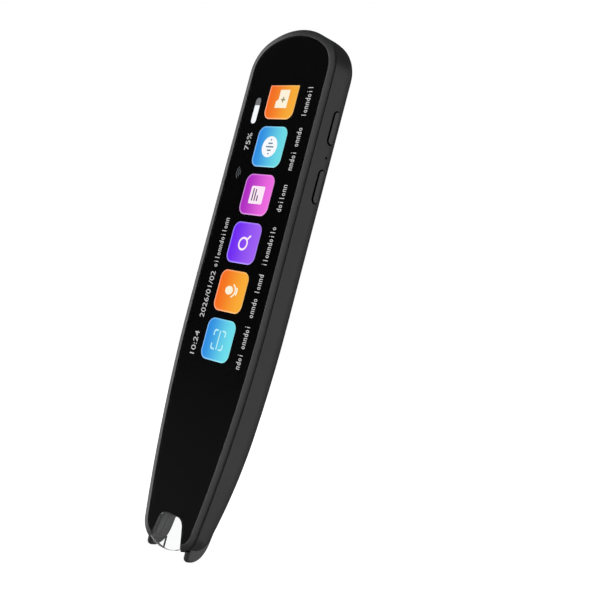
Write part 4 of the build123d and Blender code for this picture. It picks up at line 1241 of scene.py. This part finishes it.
def flat_plate(outlines, layer, origin=(0.0, 0.0)):
    """A closed plate cut from outlines in millimetres, at its place on a layer of the picture."""
    curve = bpy.data.curves.new("outline", "CURVE")
    curve.dimensions = "2D"
    curve.fill_mode = "BOTH"
    curve.extrude = PLATE / 2
    for outline in outlines:
        spline = curve.splines.new("POLY")
        spline.points.add(len(outline) - 1)
        for point, (x, z) in zip(spline.points, outline):
            point.co = (x * MM, z * MM, 0, 1)
        spline.use_cyclic_u = True
    mesh = mesh_of_curve("flat", curve)
    mesh.transform(Euler(UPRIGHT).to_matrix().to_4x4())
    for vertex in mesh.vertices:
        vertex.co += Vector((origin[0] * MM, layer_front(layer) + PLATE / 2, origin[1] * MM))
    weld(mesh)
    return mesh


print("a round outline has", len(circle(0, 0, 1)), "corners")

# %% [markdown]
# From the lowest tile to the top, each sign is a list of plates. A plate is its colour, its outlines and its
# layer. The folder's plus is two strokes on two layers, because outlines that cross would cut a hole where they do.

# %% The six signs
BRACKET = ((0.9, 2.9), (2.1, 2.9), (2.6, 2.4), (2.6, 1.1), (2.15, 1.1), (2.15, 2.2), (1.9, 2.45), (0.9, 2.45))
brackets = [[(side_x * x, side_z * z) for x, z in BRACKET] for side_x in (-1, 1) for side_z in (-1, 1)]
# The head and its sound waves are drawn round, then moved a little up the pen and pressed shorter along it.
HEAD_SHIFT, HEAD_SHORT = 0.2, 0.78
head_round = (circle(-1.0, 0, 1.62), arc_band(-1.1, 0, 2.75, 0.55, -58, 58), arc_band(-1.1, 0, 3.45, 0.6, -24, 24))
head, *waves = [[(x, HEAD_SHIFT + HEAD_SHORT * z) for x, z in outline] for outline in head_round]
RING = (-0.35, -0.25)
ring = [circle(*RING, 2.0), circle(*RING, 1.4)]
handle = turned(rounded_box(2.2, -0.25, 2.1, 0.62, 0.25), *RING, 45)
page = rounded_box(0.0, -0.1, 5.7, 5.2, 0.5)
LINE_FIRST, LINE_PITCH = -1.65, 1.05
text_lines = [rounded_box(LINE_FIRST + LINE_PITCH * row, shift, 0.48, length, 0.15)
              for row, (shift, length) in enumerate(((0, 3.7), (-0.1, 3.5), (-1.0, 1.7)))]
BAR_PITCH = 1.02
sound_bars = [rounded_box(0.1, BAR_PITCH * (row - 2), length, 0.42, 0.2)
              for row, length in enumerate((0.6, 1.7, 3.2, 1.9, 0.6))]
folder = [(2.6, 2.75), (2.6, -2.65), (-2.3, -2.65), (-2.3, -0.7), (-1.4, -0.1), (-1.4, 2.75)]
SIGNS = {
    "scan_sign": [("lit_pale_blue", brackets, 2), ("lit_pale_blue", [rounded_box(0, 0, 0.42, 5.6, 0.2)], 2)],
    "voice_sign": [("lit_cream", [head], 2), ("lit_cream", waves, 2)],
    "magnifier_sign": [("lit_pink", ring, 2), ("lit_pink", [handle], 3)],
    "page_sign": [("lit_pink", [page], 2), ("lit_plum", text_lines, 3)],
    "sound_sign": [("lit_white", [circle(0, 0, 3.1)], 2), ("lit_slate", sound_bars, 3)],
    "folder_sign": [
        ("lit_cream", [folder], 2), ("lit_olive", [rounded_box(0.5, -0.2, 1.7, 0.45, 0.1)], 3),
        ("lit_olive", [rounded_box(0.5, -0.2, 0.45, 1.7, 0.1)], 4)],
}
for (sign, plates), middle in zip(SIGNS.items(), tile_middles):
    for number, (tone, outlines, layer) in enumerate(plates):
        mesh = flat_plate(outlines, layer, (TILE_MIDDLE_X / MM, middle / MM))
        new_piece(f"{sign}_{number}", mesh, materials[tone])
print("signs:", list(SIGNS))

# %% [markdown]
# ## The status column and the captions
# The numbers are plain figures: a time, a date and a charge. They are text curves, turned to run up the pen and
# stretched to fill their place.

# %% Figures
FIGURE_SIZE = 2.75
FIGURE_BASE_X = -9.2
FIGURE_GAP = 1.04
# What stands there, and where it starts and ends up the pen, in millimetres.
FIGURES = (("10:24", 55.15, 61.87), ("2026/01/02", 65.96, 79.61), ("75%", 116.0, 121.1))


def make_figures(text, start, end):
    """A line of figures that runs up the pen, stretched to fill its place."""
    curve = bpy.data.curves.new("figures", "FONT")
    curve.body = text
    curve.size = FIGURE_SIZE * MM
    curve.space_character = FIGURE_GAP
    curve.extrude = PLATE / 2
    mesh = mesh_of_curve("figures", curve)
    low = min(vertex.co.x for vertex in mesh.vertices)
    high = max(vertex.co.x for vertex in mesh.vertices)
    stretch = (end - start) * MM / (high - low)
    for vertex in mesh.vertices:
        x, y, z = vertex.co
        vertex.co = (FIGURE_BASE_X * MM - y, layer_front(1) + PLATE / 2 + z, start * MM + (x - low) * stretch)
    weld(mesh)
    return mesh


for number, (text, start, end) in enumerate(FIGURES):
    made = new_piece(f"figures_{number}", make_figures(text, start, end), materials["lit_text"])
    print(made.name, text, "faces:", len(made.data.polygons))

# %% [markdown]
# Where words would stand there are lines of marks with the look of letters: a round, a stroke, an arch, a round
# with a stroke, and a stroke with a dot. They follow each other in a fixed order with a blank between two words,
# so they read as small print and spell nothing.

# %% Glyphs for small print
GLYPH_HEIGHT = 1.3 * MM
GLYPH_TALL = 1.95 * MM
GLYPH_WIDTH = 0.82 * MM
GLYPH_STROKE = 0.22 * MM
ROUND_STEPS = 16


def box_shape(tree, x, low, width, height):
    """A box outline that stands on the line of print, by its middle across and its foot."""
    return moved(tree, rectangle(tree, width, height), Translation=(x, low + height / 2, 0))


def oval_shape(tree, width, height, low):
    """A round outline, taller than it is wide."""
    shape = add(tree, "GeometryNodeCurvePrimitiveCircle", {"Resolution": ROUND_STEPS, "Radius": 0.5}).outputs[0]
    return moved(tree, shape, Translation=(0, low + height / 2, 0), Scale=(width, height, 1))


def make_glyphs(tree, thickness):
    """The marks in the order in which they take turns: the round and the arch come twice."""
    def plate(outline):
        """An outline as a plate of the print's thickness."""
        return thick_plate(tree, outline, thickness)

    def stroke(x, height, low=0, width=GLYPH_STROKE):
        """A box as a plate, by its middle across, its height and its foot."""
        return plate(box_shape(tree, x, low, width, height))

    side = (GLYPH_WIDTH - GLYPH_STROKE) / 2
    inner_width, inner_height = GLYPH_WIDTH - 2 * GLYPH_STROKE, GLYPH_HEIGHT - 2 * GLYPH_STROKE
    loop = plate(joined(tree, [
        oval_shape(tree, GLYPH_WIDTH, GLYPH_HEIGHT, 0.0),
        oval_shape(tree, inner_width, inner_height, GLYPH_STROKE)]))
    tall, tall_side = stroke(0, GLYPH_TALL), stroke(side, GLYPH_TALL)
    dotted = joined(tree, [stroke(0, GLYPH_HEIGHT), stroke(0, GLYPH_STROKE, GLYPH_TALL - GLYPH_STROKE)])
    arch = joined(tree, [
        stroke(-side, GLYPH_HEIGHT), stroke(side, GLYPH_HEIGHT),
        stroke(0, GLYPH_STROKE, GLYPH_HEIGHT - GLYPH_STROKE, inner_width)])
    return [loop, tall, arch, joined(tree, [loop, tall_side]), dotted, loop, arch]


print("a mark is", round(GLYPH_WIDTH / MM, 2), "mm wide and", round(GLYPH_HEIGHT / MM, 2), "mm high")

# %% [markdown]
# One tree sets any line of them from its start, its number of places, the place that stays blank and a seed,
# which is where in the order the line begins.

# %% Grow the captions
PRINT_PITCH = 1.14 * MM
GLYPH_STRIDE = 3
ALONG_PEN = (0, -math.pi / 2, 0)
CAPTION_X = 11.15
WEEKDAY_X = -9.2
NO_GAP = -1
# Which column a line stands in, where it starts and ends up the pen in millimetres, and where its words part.
PRINT_LINES = (
    (CAPTION_X, 54.1, 66.3, 4), (CAPTION_X, 68.6, 81.4, 5), (CAPTION_X, 83.3, 94.9, NO_GAP),
    (CAPTION_X, 98.8, 106.9, NO_GAP), (CAPTION_X, 110.7, 123.0, 5), (CAPTION_X, 126.2, 135.3, NO_GAP),
    (WEEKDAY_X, 80.8, 95.1, NO_GAP),
)


def make_print_tree(inputs):
    """A line of marks without meaning, one on each point of a line but for the gap between words."""
    tree, given, out = new_geometry_tree("small_print", inputs)
    glyphs = make_glyphs(tree, given["Thickness"])
    kept = [add(tree, "GeometryNodeGeometryToInstance", {0: glyph}).outputs[0] for glyph in glyphs]
    index = add(tree, "GeometryNodeInputIndex").outputs[0]
    stride = math_node(tree, "ADD", product(tree, index, GLYPH_STRIDE), given["Seed"])
    apart = math_node(tree, "ABSOLUTE", math_node(tree, "SUBTRACT", index, given["Gap"]))
    row = add(tree, "GeometryNodeInstanceOnPoints", {
        "Points": point_line(tree, given), "Instance": joined(tree, kept), "Pick Instance": True,
        "Instance Index": math_node(tree, "MODULO", stride, len(glyphs)),
        "Selection": math_node(tree, "GREATER_THAN", apart, 0.5), "Rotation": ALONG_PEN}).outputs[0]
    real = add(tree, "GeometryNodeRealizeInstances", {0: row}).outputs[0]
    return close_tree(tree, out, real, materials["lit_text"])


def print_inputs(seed, x, start, end, gap):
    """What the tree needs to know of a line."""
    return {
        "Start": Vector((x * MM, layer_front(1) + PLATE, start * MM + PRINT_PITCH / 2)),
        "Count": round((end - start) * MM / PRINT_PITCH),
        "Pitch": PRINT_PITCH,
        "Seed": seed,
        "Gap": gap,
        "Thickness": PLATE,
    }


all_inputs = [print_inputs(number, *line) for number, line in enumerate(PRINT_LINES)]
print_tree = make_print_tree(all_inputs[0])
for number, inputs in enumerate(all_inputs):
    made = new_piece(f"small_print_{number}", grow("small_print", print_tree, inputs))
    print(made.name, "places:", inputs["Count"])

# %% [markdown]
# The battery sign is a pill, white as far as it is charged. The fan of three bands is drawn dim, as a display
# draws a link that is not in use.

# %% Battery and fan
BATTERY_X, BATTERY_LOW, BATTERY_LEVEL, BATTERY_HIGH = -10.3, 123.95, 129.45, 131.75
BATTERY_WIDTH = 2.1
FAN_X, FAN_Z = -9.35, 109.1
FAN_RADII, FAN_WIDTH, FAN_SPREAD = (0.75, 1.5, 2.25), 0.3, (132, 228)

battery_middle, battery_length = (BATTERY_LOW + BATTERY_HIGH) / 2, BATTERY_HIGH - BATTERY_LOW
pill = rounded_box(BATTERY_X, battery_middle, BATTERY_WIDTH, battery_length, BATTERY_WIDTH / 2)
charge = [(x, min(z, BATTERY_LEVEL)) for x, z in pill]
new_piece("battery_sign", flat_plate([pill], 1), materials["lit_charge"])
new_piece("battery_charge", flat_plate([charge], 2), materials["lit_white"])
fan = [arc_band(FAN_X, FAN_Z, radius, FAN_WIDTH, *FAN_SPREAD) for radius in FAN_RADII]
new_piece("link_fan", flat_plate(fan, 1), materials["lit_dim"])
print("charge shown:", round((BATTERY_LEVEL - BATTERY_LOW) / (BATTERY_HIGH - BATTERY_LOW), 2))
